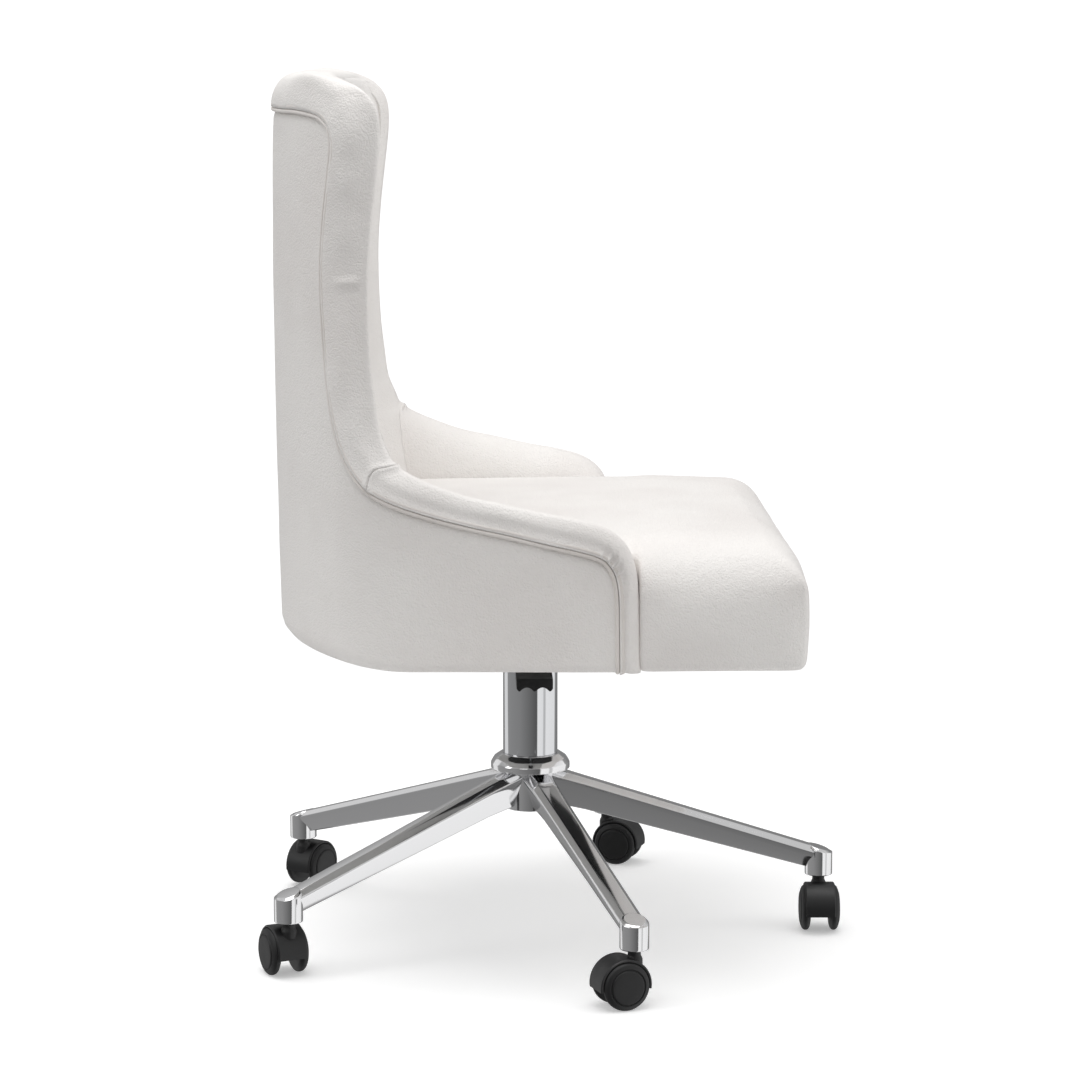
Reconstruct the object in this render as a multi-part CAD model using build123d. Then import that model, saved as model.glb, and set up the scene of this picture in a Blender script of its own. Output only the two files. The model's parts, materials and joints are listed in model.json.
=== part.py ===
from build123d import *
import os
from math import asin, cos, radians, sin, sqrt, tan

# Swivel office chair, millimetres. +X is the way the sitter faces, +Z is up, and the origin is on
# the floor under the swivel axis. The sitter's left hand is on the +Y side.

# ---- clearances -------------------------------------------------------------------------------
RUN = 0.05            # radial clearance of a shaft that turns or slides in its hole
SLIP = 0.30           # gap between a soft or sheet piece and its neighbour
EPS = 0.02            # gap between pressed pieces of one body
PAST = 1.0            # how far a cut runs past the face it opens
FAR = 1000.0          # beyond every face of the chair

# ---- five-arm base ----------------------------------------------------------------------------
ARM_COUNT = 5
ARM_REACH = 320.0     # swivel axis to caster stem axis
HUB_FLANGE_R = 43.5
HUB_FLANGE_LOW = 182.5
HUB_FLANGE_HIGH = 190.0
HUB_TOP_Z = 200.0
HUB_LOW_Z = 138.0
HUB_LOW_R = 28.5
HUB_EDGE = 2.0
ARM_ROOT_TOP = 190.0  # height of the arm's flat top where it would meet the swivel axis plane
ARM_TIP_TOP = 91.0
ARM_ROOT_DEPTH = 40.0
ARM_TIP_DEPTH = 24.0
ARM_TOP_HALF = 8.0    # half width of the flat top
ARM_HALF = 14.5       # half width at the shoulder
ARM_SHOULDER = 6.0    # drop from the flat top to the shoulder
ARM_KEEL_HALF = 4.5
ARM_ROOT_R = 22.0     # radius where the arm's section starts inside the hub
BOSS_R = 15.25
BOSS_LOW_Z = 59.5
BOSS_TOP_Z = 90.0
BOSS_EDGE = 2.0
SOCKET_R = 7.0        # outside radius of the caster stem's socket sleeve
SOCKET_TOP_Z = 86.0

# ---- casters ----------------------------------------------------------------------------------
WHEEL_R = 25.0
WHEEL_INNER_Y = 10.7  # inner face of each wheel from the caster's middle plane
WHEEL_OUTER_Y = 22.0
WHEEL_EDGE = 2.5
WHEEL_CAP_R = 18.5
WHEEL_CAP_DEPTH = 2.0
CASTER_TRAIL = 15.0   # stem axis to axle
AXLE_R = 3.0
AXLE_HALF = 19.0
HOOD_HALF = 16.5
HOOD_WALL = 2.4
HOOD_GAP = 0.8        # between wheel tread and hood
HOOD_LIP_Z = 21.0     # height of the hood's lower edge above the floor
WEB_GAP = 0.3         # between the middle web and each wheel
WEB_HUB_R = 11.0
STEM_R = 5.5
STEM_LOW_Z = 38.0
STEM_TOP_Z = 84.0
STEM_COLLAR_R = 6.75
STEM_COLLAR_TOP = 58.9
STEM_BOSS_R = 9.0
# name: (arm angle, direction from stem to axle), both in degrees from +X
CASTERS = {
    "front": (0.0, -91.0),
    "front_left": (72.0, -20.0),
    "rear_left": (144.0, 55.0),
    "rear_right": (216.0, 115.0),
    "front_right": (288.0, 200.0),
}

# ---- gas lift ---------------------------------------------------------------------------------
STROKE = 90.0         # seat height travel
LIFT_R = 25.0
LIFT_WALL = 1.5
LIFT_TAPER_DEG = 1.4378
LIFT_LOW_Z = 141.0
LIFT_TOP_Z = 293.5
LIFT_FLOOR = 3.0      # closed bottom of the outer tube
ROD_R = 5.0
ROD_SPIGOT_R = 4.0
ROD_SPIGOT_LOW_Z = 136.0
ROD_TOP_Z = 288.5
RACE_R = 12.0
RACE_T = 1.5
BALL_R = 1.5
BALL_COUNT = 10
BALL_CIRCLE_R = 8.5
CLIP_R = 9.0
CLIP_T = 2.4
CYL_R = 14.0
CYL_WALL = 1.6
CYL_LOW_Z = 158.0
CYL_TOP_Z = 316.5
CYL_HEAD = 14.0       # closed top of the cylinder, bored for the valve button
SEAL_T = 12.0
PISTON_T = 10.0
BUSH_LEN = 72.0
BUTTON_R = 3.0
BUTTON_PROUD = 6.5
BUTTON_TRAVEL = 3.0

# ---- column covers ----------------------------------------------------------------------------
SLEEVE_R = 30.0
SLEEVE_WALL = 1.5
SLEEVE_TOP_Z = 296.5
SLEEVE_GAP = 0.7      # radial gap between the two sleeves
SLEEVE_LAP = 4.0      # how far they still overlap with the seat at its highest
INNER_SLEEVE_R = SLEEVE_R - SLEEVE_WALL - SLEEVE_GAP
INNER_SLEEVE_LOW_Z = SLEEVE_TOP_Z - SLEEVE_LAP - STROKE

# ---- seat mechanism ---------------------------------------------------------------------------
MECH_LOW_Z = 299.5
MECH_HALF_X = 70.0
MECH_HALF_Y = 48.0
MECH_WALL = 3.0
PLATE_T = 4.0
PLATE_HALF_X = 105.0
PLATE_HALF_Y = 92.0
PLATE_CORNER_R = 18.0
SCREW_X = 92.0        # screw pattern half spacings
SCREW_Y = 76.0
SCREW_R = 3.0
SCREW_HEAD_R = 5.5
SCREW_HEAD_T = 4.0
SOCKET_WALL = 4.0     # wall of the tapered socket that holds the cylinder's top
LEVER_Z = 327.5       # height of the lever rod inside the mechanism
LEVER_PIVOT_Y = -38.0
LEVER_ROD_R = 4.0
LEVER_EYE_R = 7.5
LEVER_EYE_HALF = 5.0
LEVER_PIN_R = 3.0
LEVER_EAR_T = 3.0
LEVER_BEND_Y = -96.0
LEVER_LOW_Z = 314.0
LEVER_LOW_Y = -128.0
PADDLE_END_Y = -200.0
PADDLE_START_Y = -146.0
PADDLE_HALF_X = 19.0
PADDLE_LOW_Z = 306.5
PADDLE_TOP_Z = 320.0
PADDLE_EDGE = 3.0
PADDLE_BORE_END = 12.0  # solid end of the paddle beyond its rod
GROOVE_R = 9.0        # finger grooves under the paddle
GROOVE_DEPTH = 4.0
GROOVE_X = 8.0        # each groove's middle from the paddle's middle

# ---- upholstered shell ------------------------------------------------------------------------
SHELL_LOW_Z = 343.5
SHELL_TOP_Z = 942.5
SHELL_HALF_Y = 292.0
SHELL_REAR_X = -276.0
SHELL_REAR_BOW_R = 480.0
SHELL_CORNER_R = 95.0
ARM_FRONT_X = 103.5
ARM_THICK = 52.0
ARM_INNER_Y = SHELL_HALF_Y - ARM_THICK
BACK_INNER_X = -197.0   # inner back at the middle plane
WING_TIP_X = -155.0     # inner back's hollow meets the wing tips here
WING_TIP_Y = SHELL_HALF_Y - 27.0
PAD_SPLIT_X = -163.0    # the inner back ends here and the arm pads start
BORDER_SPLIT_X = -153.0  # the back's border ends here and the arms' start
COVER_T = 5.0
FRAME_T = 12.0
WELT_T = 4.5
WELT_PROUD = 1.8
WELT_DEEP = 3.0
DUST_T = 1.0
BOARD_T = 12.0
TNUT_FLANGE_R = 9.5
TNUT_FLANGE_T = 1.2
TNUT_BARREL_R = 4.2

# ---- seat cushion -----------------------------------------------------------------------------
SEAT_TOP_Z = 476.5
SEAT_FRONT_X = 275.0
SEAT_HALF_Y = SHELL_HALF_Y + 5.0
SEAT_CORNER_R = 16.0
SEAT_TOP_EDGE_R = 36.0
BOARD_FRONT_X = 255.0

BOARD_LOW_Z = SHELL_LOW_Z + DUST_T
BOARD_TOP_Z = BOARD_LOW_Z + BOARD_T
PLATE_LOW_Z = SHELL_LOW_Z - PLATE_T
FRAME_INSET = COVER_T + SLIP
PAD_INSET = FRAME_INSET + FRAME_T + SLIP


def at(solid, x=0.0, y=0.0, z=0.0):
    """The solid moved by x, y, z."""
    return Pos(x, y, z) * solid


def disc(radius, low, high):
    """Upright cylinder from one height to another."""
    return at(Cylinder(radius, high - low, align=(Align.CENTER, Align.CENTER, Align.MIN)), z=low)


def tube(outer, inner, low, high):
    """Upright tube from one height to another."""
    return disc(outer, low, high) - disc(inner, low - 1, high + 1)


def block(x0, x1, y0, y1, z0, z1):
    """Box between two corners."""
    box = Box(x1 - x0, y1 - y0, z1 - z0, align=(Align.MIN, Align.MIN, Align.MIN))
    return at(box, x0, y0, z0)


def cross_rod(radius, y0, y1, x=0.0, z=0.0):
    """Cylinder along Y from y0 to y1."""
    rod = Rot(-90, 0, 0) * Cylinder(radius, y1 - y0, align=(Align.CENTER, Align.CENTER, Align.MIN))
    return at(rod, x, y0, z)


def save(shape, name):
    """Write one node's STEP file."""
    export_step(Compound(children=list(shape.solids())), f"parts/{name}.step")


def spun(points):
    """Solid of revolution about Z from (radius, height) points."""
    with BuildPart() as part:
        with BuildSketch(Plane.XZ):
            with BuildLine():
                Polyline(*points, close=True)
            make_face()
        revolve(axis=Axis.Z)
    return part.part


# ---- five-arm base ----------------------------------------------------------------------------
def lift_radius(z, clear=0.0):
    """Outside radius of the gas lift's lower taper at a height."""
    return LIFT_R - (HUB_TOP_Z - z) * tan(radians(LIFT_TAPER_DEG)) + clear


def base_hub():
    """Hub with a flange under the column, a bevelled top and a tapered bore."""
    return spun([
        (lift_radius(HUB_LOW_Z, EPS), HUB_LOW_Z),
        (HUB_LOW_R - HUB_EDGE, HUB_LOW_Z),
        (HUB_LOW_R, HUB_LOW_Z + HUB_EDGE),
        (HUB_LOW_R, HUB_FLANGE_LOW),
        (HUB_FLANGE_R, HUB_FLANGE_LOW),
        (HUB_FLANGE_R, HUB_FLANGE_HIGH),
        (SLEEVE_R + EPS, HUB_TOP_Z),
        (lift_radius(HUB_TOP_Z, EPS), HUB_TOP_Z),
    ])


def arm_section(x, top, depth):
    """Faceted arm section on a plane across the arm: flat top, shoulders, narrow keel."""
    points = [(ARM_TOP_HALF, top), (ARM_HALF, top - ARM_SHOULDER), (ARM_KEEL_HALF, top - depth)]
    points += [(-y, z) for y, z in reversed(points)]
    with BuildSketch(Plane.YZ.offset(x)) as section:
        with BuildLine():
            Polyline(*points, close=True)
        make_face()
    return section.sketch


def base_arm():
    """One arm along +X, with the round boss that takes the caster at its end."""
    slope = (ARM_ROOT_TOP - ARM_TIP_TOP) / ARM_REACH
    root = arm_section(ARM_ROOT_R, ARM_ROOT_TOP - slope * ARM_ROOT_R, ARM_ROOT_DEPTH)
    tip = arm_section(ARM_REACH, ARM_TIP_TOP, ARM_TIP_DEPTH)
    bar = loft([root, tip], ruled=True)
    boss = chamfer(disc(BOSS_R, BOSS_LOW_Z, BOSS_TOP_Z).edges(), BOSS_EDGE)
    arm = bar + at(boss, ARM_REACH)
    return arm - at(disc(SOCKET_R + EPS, BOSS_LOW_Z - 1, SOCKET_TOP_Z), ARM_REACH)


def base_star():
    """Cast five-arm base."""
    star = base_hub()
    arm = base_arm() - disc(lift_radius(HUB_TOP_Z) + EPS, HUB_LOW_Z - 1, HUB_TOP_Z + 1)
    for index in range(ARM_COUNT):
        star += Rot(0, 0, index * 360 / ARM_COUNT) * arm
    return star


def caster_sockets():
    """Five sleeves pressed into the bosses."""
    sleeve = at(tube(SOCKET_R, STEM_R + RUN, BOSS_LOW_Z, SOCKET_TOP_Z - EPS), ARM_REACH)
    return Compound(children=[Rot(0, 0, a) * sleeve for a, _ in CASTERS.values()])


# ---- casters ----------------------------------------------------------------------------------
def caster_hood():
    """Twin-wheel caster body: middle web, hood over both wheels and collar round the stem."""
    inner = WHEEL_R + HOOD_GAP
    outer = inner + HOOD_WALL
    web_half = WHEEL_INNER_Y - WEB_GAP
    axle = (CASTER_TRAIL, WHEEL_R)
    hood = cross_rod(outer, -HOOD_HALF, HOOD_HALF, *axle)
    hood -= cross_rod(inner, web_half, HOOD_HALF + 1, *axle)
    hood -= cross_rod(inner, -HOOD_HALF - 1, -web_half, *axle)
    hood -= block(CASTER_TRAIL - 2 * outer, CASTER_TRAIL + 2 * outer, -HOOD_HALF - 1, HOOD_HALF + 1,
                  -outer, HOOD_LIP_Z)
    hood += cross_rod(WEB_HUB_R, -web_half, web_half, *axle)
    collar = disc(STEM_BOSS_R, STEM_LOW_Z - 3, STEM_TOP_Z) & cross_rod(outer, -web_half, web_half, *axle)
    hood += collar
    hood += disc(STEM_COLLAR_R, STEM_LOW_Z - 3, STEM_COLLAR_TOP)
    hood -= disc(STEM_R + EPS, STEM_LOW_Z - EPS, STEM_COLLAR_TOP + 1)
    return hood - cross_rod(AXLE_R + EPS, -HOOD_HALF - 1, HOOD_HALF + 1, *axle)


def caster_wheel():
    """One wheel on the +Y side with a snap-in cap, turning on the axle."""
    width = WHEEL_OUTER_Y - WHEEL_INNER_Y
    rim = spun([
        (AXLE_R + RUN, 0),
        (WHEEL_R - WHEEL_EDGE, 0),
        (WHEEL_R, WHEEL_EDGE),
        (WHEEL_R, width - WHEEL_EDGE - WHEEL_CAP_DEPTH),
        (WHEEL_R - WHEEL_EDGE, width - WHEEL_CAP_DEPTH),
        (WHEEL_CAP_R, width - WHEEL_CAP_DEPTH),
        (WHEEL_CAP_R, width - 2 * WHEEL_CAP_DEPTH),
        (AXLE_R + RUN, width - 2 * WHEEL_CAP_DEPTH),
    ])
    cap_low = width - 2 * WHEEL_CAP_DEPTH
    cap = disc(WHEEL_CAP_R - EPS, cap_low, width)
    cap = chamfer(cap.edges().group_by(Axis.Z)[-1], WHEEL_CAP_DEPTH / 2)
    wheel = Compound(children=[rim, cap])
    return at(Rot(-90, 0, 0) * wheel, CASTER_TRAIL, WHEEL_INNER_Y, WHEEL_R)


def build_casters():
    """Every caster piece, each in its own node."""
    hood = caster_hood()
    stem = chamfer(disc(STEM_R, STEM_LOW_Z, STEM_TOP_Z).edges(), 1.0)
    axle_end = min(AXLE_HALF, WHEEL_OUTER_Y - 2 * WHEEL_CAP_DEPTH - SLIP)
    axle = cross_rod(AXLE_R, -axle_end, axle_end, CASTER_TRAIL, WHEEL_R)
    left = caster_wheel()
    right = mirror(left, Plane.XZ)
    for name, (arm_angle, trail_angle) in CASTERS.items():
        place = Rot(0, 0, arm_angle) * Pos(ARM_REACH, 0, 0) * Rot(0, 0, trail_angle - arm_angle)
        save(place * hood, f"{name}_caster_hood")
        save(place * stem, f"{name}_caster_stem")
        save(place * axle, f"{name}_caster_axle")
        save(place * left, f"{name}_wheel_a")
        save(place * right, f"{name}_wheel_b")


# ---- gas lift ---------------------------------------------------------------------------------
def lift_tube():
    """Outer tube: straight above the hub, tapered in it, with a closed bottom."""
    low_r = lift_radius(LIFT_LOW_Z)
    floor_z = LIFT_LOW_Z + LIFT_FLOOR
    return spun([
        (ROD_SPIGOT_R + RUN, LIFT_LOW_Z),
        (low_r, LIFT_LOW_Z),
        (LIFT_R, HUB_TOP_Z),
        (LIFT_R, LIFT_TOP_Z),
        (LIFT_R - LIFT_WALL, LIFT_TOP_Z),
        (LIFT_R - LIFT_WALL, HUB_TOP_Z),
        (lift_radius(floor_z) - LIFT_WALL, floor_z),
        (ROD_SPIGOT_R + RUN, floor_z),
    ])


def build_lift():
    """Gas lift from its retaining clip up to its valve button."""
    floor_z = LIFT_LOW_Z + LIFT_FLOOR
    ball_z = floor_z + RACE_T + BALL_R
    rod_foot = ball_z + BALL_R + RACE_T
    bore = ROD_SPIGOT_R + RUN
    save(lift_tube(), "lift_tube")
    save(tube(RACE_R, bore, floor_z, floor_z + RACE_T - EPS), "thrust_race_lower")
    ball = at(Sphere(BALL_R - EPS), BALL_CIRCLE_R, 0, ball_z)
    balls = [Rot(0, 0, i * 360 / BALL_COUNT) * ball for i in range(BALL_COUNT)]
    save(Compound(children=balls), "thrust_balls")
    save(tube(RACE_R, ROD_SPIGOT_R + EPS, rod_foot - RACE_T + EPS, rod_foot), "thrust_race_upper")
    save(disc(ROD_SPIGOT_R, ROD_SPIGOT_LOW_Z, rod_foot) + disc(ROD_R, rod_foot, ROD_TOP_Z), "piston_rod")
    clip = tube(CLIP_R, ROD_SPIGOT_R + EPS, LIFT_LOW_Z - SLIP - CLIP_T, LIFT_LOW_Z - SLIP)
    save(clip - block(0, CLIP_R + 1, -1, 1, 0, LIFT_LOW_Z), "lift_retaining_clip")
    bore_r = CYL_R - CYL_WALL
    save(disc(bore_r - RUN, ROD_TOP_Z, ROD_TOP_Z + PISTON_T), "lift_piston")
    save(lift_cylinder(bore_r), "lift_cylinder")
    save(tube(bore_r - EPS, ROD_R + RUN, CYL_LOW_Z, CYL_LOW_Z + SEAL_T), "rod_seal")
    bush_r = LIFT_R - LIFT_WALL - EPS
    save(tube(bush_r, CYL_R + RUN, LIFT_TOP_Z - BUSH_LEN, LIFT_TOP_Z), "lift_guide_bush")
    button = disc(BUTTON_R, CYL_TOP_Z - CYL_HEAD + BUTTON_TRAVEL, CYL_TOP_Z + BUTTON_PROUD)
    save(button, "valve_button")


def lift_cylinder(bore_r):
    """Pressure cylinder that slides in the guide bush and plugs into the seat mechanism."""
    taper = (CYL_TOP_Z - MECH_LOW_Z) * tan(radians(LIFT_TAPER_DEG))
    head_z = CYL_TOP_Z - CYL_HEAD
    hole = BUTTON_R + RUN
    return spun([
        (bore_r, CYL_LOW_Z),
        (CYL_R, CYL_LOW_Z),
        (CYL_R, MECH_LOW_Z),
        (CYL_R - taper, CYL_TOP_Z),
        (hole, CYL_TOP_Z),
        (hole, head_z),
        (bore_r, head_z),
    ])


def build_column_covers():
    """Chrome sleeve on the base and the sleeve that slides up out of it with the seat."""
    save(tube(SLEEVE_R, SLEEVE_R - SLEEVE_WALL, HUB_TOP_Z, SLEEVE_TOP_Z), "column_sleeve")
    inner = tube(INNER_SLEEVE_R, INNER_SLEEVE_R - SLEEVE_WALL, INNER_SLEEVE_LOW_Z, MECH_LOW_Z)
    save(inner, "inner_column_sleeve")


# ---- seat mechanism ---------------------------------------------------------------------------
def mechanism_housing():
    """Pressed channel with the lift's tapered socket, lever ears and a slot for the lever."""
    inner_y = MECH_HALF_Y - MECH_WALL
    floor_z = MECH_LOW_Z + MECH_WALL
    body = block(-MECH_HALF_X, MECH_HALF_X, -MECH_HALF_Y, MECH_HALF_Y, MECH_LOW_Z, PLATE_LOW_Z)
    body -= block(MECH_WALL - MECH_HALF_X, MECH_HALF_X - MECH_WALL, -inner_y, inner_y, floor_z,
                  PLATE_LOW_Z + 1)
    body += disc(CYL_R + SOCKET_WALL, MECH_LOW_Z, CYL_TOP_Z - 2)
    taper = (CYL_TOP_Z - MECH_LOW_Z) * tan(radians(LIFT_TAPER_DEG))
    body -= at(Cone(CYL_R + EPS, CYL_R - taper + EPS, CYL_TOP_Z - MECH_LOW_Z,
                    align=(Align.CENTER, Align.CENTER, Align.MIN)), z=MECH_LOW_Z)
    ear_in = LEVER_EYE_HALF + SLIP
    ear_y = LEVER_EYE_R
    for side in (-1, 1):
        near, far = sorted((side * ear_in, side * (ear_in + LEVER_EAR_T)))
        body += block(near, far, LEVER_PIVOT_Y - ear_y, LEVER_PIVOT_Y + ear_y, floor_z, LEVER_Z + ear_y)
    body -= lever_pin(EPS)
    slot_half = LEVER_ROD_R + 1
    body -= block(-slot_half, slot_half, -MECH_HALF_Y - 1, -inner_y, LEVER_Z - slot_half, PLATE_LOW_Z + 1)
    return body


def lever_pin(clear=0.0):
    """Pivot pin of the lever, along X."""
    half = LEVER_EYE_HALF + SLIP + LEVER_EAR_T + clear
    pin = Rot(0, 90, 0) * Cylinder(LEVER_PIN_R + clear, 2 * half)
    return at(pin, y=LEVER_PIVOT_Y, z=LEVER_Z)


def lever_rod():
    """Bent steel rod: its inner end lies over the valve button, its outer end holds the paddle."""
    inner_y = BUTTON_R + 1
    bend_r = (LEVER_BEND_Y - LEVER_LOW_Y) / 2
    with BuildPart() as part:
        with BuildLine() as path:
            FilletPolyline(
                (0, inner_y, LEVER_Z),
                (0, LEVER_BEND_Y, LEVER_Z),
                (0, LEVER_LOW_Y, LEVER_LOW_Z),
                (0, PADDLE_END_Y + PADDLE_BORE_END, LEVER_LOW_Z),
                radius=bend_r,
            )
        with BuildSketch(Plane(origin=path.line @ 0, z_dir=path.line % 0)):
            Circle(LEVER_ROD_R)
        sweep(path=path.line)
    eye = Rot(0, 90, 0) * Cylinder(LEVER_EYE_R, 2 * LEVER_EYE_HALF)
    rod = part.part + at(eye, y=LEVER_PIVOT_Y, z=LEVER_Z)
    bore = Rot(0, 90, 0) * Cylinder(LEVER_PIN_R + RUN, 4 * LEVER_EYE_HALF)
    return rod - at(bore, y=LEVER_PIVOT_Y, z=LEVER_Z)


def lever_paddle():
    """Moulded grip with two finger grooves along its underside."""
    paddle = block(-PADDLE_HALF_X, PADDLE_HALF_X, PADDLE_END_Y, PADDLE_START_Y, PADDLE_LOW_Z, PADDLE_TOP_Z)
    paddle = fillet(paddle.edges().filter_by(Axis.Y), PADDLE_EDGE)
    paddle = fillet(paddle.edges().group_by(Axis.Y)[0], PADDLE_EDGE / 2)
    for side in (-1, 1):
        groove = cross_rod(GROOVE_R, PADDLE_END_Y - 1, PADDLE_START_Y + 1,
                           side * GROOVE_X, PADDLE_LOW_Z + GROOVE_DEPTH - GROOVE_R)
        paddle -= groove
    bore_end = PADDLE_END_Y + PADDLE_BORE_END - EPS
    bore = cross_rod(LEVER_ROD_R + EPS, bore_end, PADDLE_START_Y + PAST, 0, LEVER_LOW_Z)
    return paddle - bore


def screw_places():
    """The four mechanism screws."""
    return [(x, y) for x in (-SCREW_X, SCREW_X) for y in (-SCREW_Y, SCREW_Y)]


def build_mechanism():
    """Mechanism under the seat board, with its lever and screws."""
    save(mechanism_housing(), "mechanism_housing")
    plate = block(-PLATE_HALF_X, PLATE_HALF_X, -PLATE_HALF_Y, PLATE_HALF_Y, PLATE_LOW_Z, SHELL_LOW_Z)
    plate = fillet(plate.edges().filter_by(Axis.Z), PLATE_CORNER_R)
    screws, nuts = [], []
    for x, y in screw_places():
        plate -= at(disc(SCREW_R + SLIP, PLATE_LOW_Z - 1, SHELL_LOW_Z + 1), x, y)
        head = disc(SCREW_HEAD_R, PLATE_LOW_Z - SCREW_HEAD_T, PLATE_LOW_Z)
        head -= at(extrude(RegularPolygon(SCREW_R * 0.9, 6), SCREW_HEAD_T / 2), z=PLATE_LOW_Z - SCREW_HEAD_T)
        screws.append(at(head + disc(SCREW_R, PLATE_LOW_Z, BOARD_TOP_Z), x, y))
        nut = disc(TNUT_FLANGE_R, BOARD_TOP_Z, BOARD_TOP_Z + TNUT_FLANGE_T)
        nut += disc(TNUT_BARREL_R, BOARD_LOW_Z + 2, BOARD_TOP_Z)
        nuts.append(at(nut - disc(SCREW_R + EPS, BOARD_LOW_Z, BOARD_TOP_Z + 5), x, y))
    save(plate, "seat_plate")
    save(Compound(children=screws), "mechanism_screws")
    save(Compound(children=nuts), "board_t_nuts")
    save(lever_pin(), "lever_pivot_pin")
    save(lever_rod(), "lever_rod")
    save(lever_paddle(), "lever_paddle")


# ---- upholstered shell ------------------------------------------------------------------------
def shell_plan(inset, front=ARM_FRONT_X):
    """Face of the shell's plan, moved in from its outline, open end at the arm fronts."""
    bow_x = SHELL_REAR_X + SHELL_REAR_BOW_R
    reach = SHELL_REAR_BOW_R - SHELL_CORNER_R
    corner_y = SHELL_HALF_Y - SHELL_CORNER_R
    corner_x = bow_x - sqrt(reach ** 2 - corner_y ** 2)
    side_y = SHELL_HALF_Y - inset
    turn = asin(corner_y / reach)
    rear_r = SHELL_REAR_BOW_R - inset
    corner_r = SHELL_CORNER_R - inset
    tan_x, tan_y = bow_x - rear_r * cos(turn), rear_r * sin(turn)
    half = (turn + radians(90)) / 2
    mid_x, mid_y = corner_x - corner_r * cos(half), corner_y + corner_r * sin(half)
    with BuildSketch() as plan:
        with BuildLine():
            Line((front, -side_y), (corner_x, -side_y))
            ThreePointArc((corner_x, -side_y), (mid_x, -mid_y), (tan_x, -tan_y))
            ThreePointArc((tan_x, -tan_y), (bow_x - rear_r, 0), (tan_x, tan_y))
            ThreePointArc((tan_x, tan_y), (mid_x, mid_y), (corner_x, side_y))
            Line((corner_x, side_y), (front, side_y))
            Line((front, side_y), (front, -side_y))
        make_face()
    return plan.sketch


def hollow_plan(clear=0.0):
    """Plan of the space inside the pads: a bowed inner back between straight arms."""
    x_mid, x_tip = BACK_INNER_X + clear, WING_TIP_X + clear
    bow_r = ((x_tip - x_mid) ** 2 + WING_TIP_Y ** 2) / (2 * (x_tip - x_mid))
    circle = Pos(x_mid + bow_r, 0) * Circle(bow_r)
    inner_y = ARM_INNER_Y - clear
    front = ARM_FRONT_X + 1
    box = Pos((x_mid + front) / 2, 0) * Rectangle(front - x_mid, 2 * inner_y)
    return circle & box


def side_face(edge):
    """Face in the XZ plane bounded by an edge line from the top rear to the arm's foot."""
    with BuildSketch(Plane.XZ) as face:
        with BuildLine():
            start, end = edge()
            Polyline(end, (start.X, SHELL_LOW_Z), start)
        make_face()
    return face.sketch


def ridge_edge():
    """Wing front and arm top seen from the side; returns the line's two ends."""
    top = Line((SHELL_REAR_X - 10, SHELL_TOP_Z), (-192, SHELL_TOP_Z))
    crown = ThreePointArc(top @ 1, (-164, 929.5), (-155, 901.5))
    wing = ThreePointArc(crown @ 1, (-167, 741.5), (-161, 618.5))
    elbow = ThreePointArc(wing @ 1, (-144, 559.5), (-98, 534.5))
    arm = ThreePointArc(elbow @ 1, (-30, 516.5), (48, 501))
    corner = ThreePointArc(arm @ 1, (86, 482.5), (ARM_FRONT_X - 2.5, 441.5))
    foot = Line(corner @ 1, (ARM_FRONT_X, SHELL_LOW_Z))
    return top @ 0, foot @ 1


def seam_edge():
    """Line of the welted seam seen from the side; returns the line's two ends."""
    top = Line((SHELL_REAR_X - 10, 906), (-234, 906))
    crown = ThreePointArc(top @ 1, (-213, 898), (-205, 873))
    wing = ThreePointArc(crown @ 1, (-214.5, 740), (-207, 610))
    elbow = ThreePointArc(wing @ 1, (-184, 544), (-130, 511))
    arm = ThreePointArc(elbow @ 1, (-40, 488), (54, 466))
    corner = ThreePointArc(arm @ 1, (75, 453.5), (82.5, 425))
    foot = Line(corner @ 1, (84, SHELL_LOW_Z))
    return top @ 0, foot @ 1


def side_slab(face):
    """A side face swept across the whole width of the chair."""
    return extrude(Pos(0, SHELL_HALF_Y + 20, 0) * face, 2 * SHELL_HALF_Y + 40, dir=(0, -1, 0))


def raised(plan, low=SHELL_LOW_Z, high=SHELL_TOP_Z):
    """A plan face raised between two heights."""
    return extrude(Pos(0, 0, low) * plan, high - low, dir=(0, 0, 1))


def build_shell():
    """Outer cover, plywood frame, pads, border bands and the double welt."""
    ridge = side_slab(side_face(ridge_edge))
    seam_face = side_face(seam_edge)
    seam = side_slab(seam_face)
    cover = raised(shell_plan(0) - shell_plan(COVER_T))
    save(cover & seam, "outer_cover")
    frame_face = offset(seam_face, -SLIP - 1)
    frame_slab = side_slab(frame_face)
    frame = raised(shell_plan(FRAME_INSET) - shell_plan(FRAME_INSET + FRAME_T))
    save(frame & frame_slab, "shell_frame")
    pads = raised(shell_plan(PAD_INSET) - hollow_plan(), BOARD_TOP_Z + SLIP)
    pads = pads & frame_slab
    save(pads & block(-FAR, PAD_SPLIT_X, -FAR, FAR, 0, FAR), "inner_back_pad")
    save(pads & block(PAD_SPLIT_X + SLIP, FAR, 0, FAR, 0, FAR), "left_arm_pad")
    save(pads & block(PAD_SPLIT_X + SLIP, FAR, -FAR, 0, 0, FAR), "right_arm_pad")
    build_borders(ridge, seam, seam_face)


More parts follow.
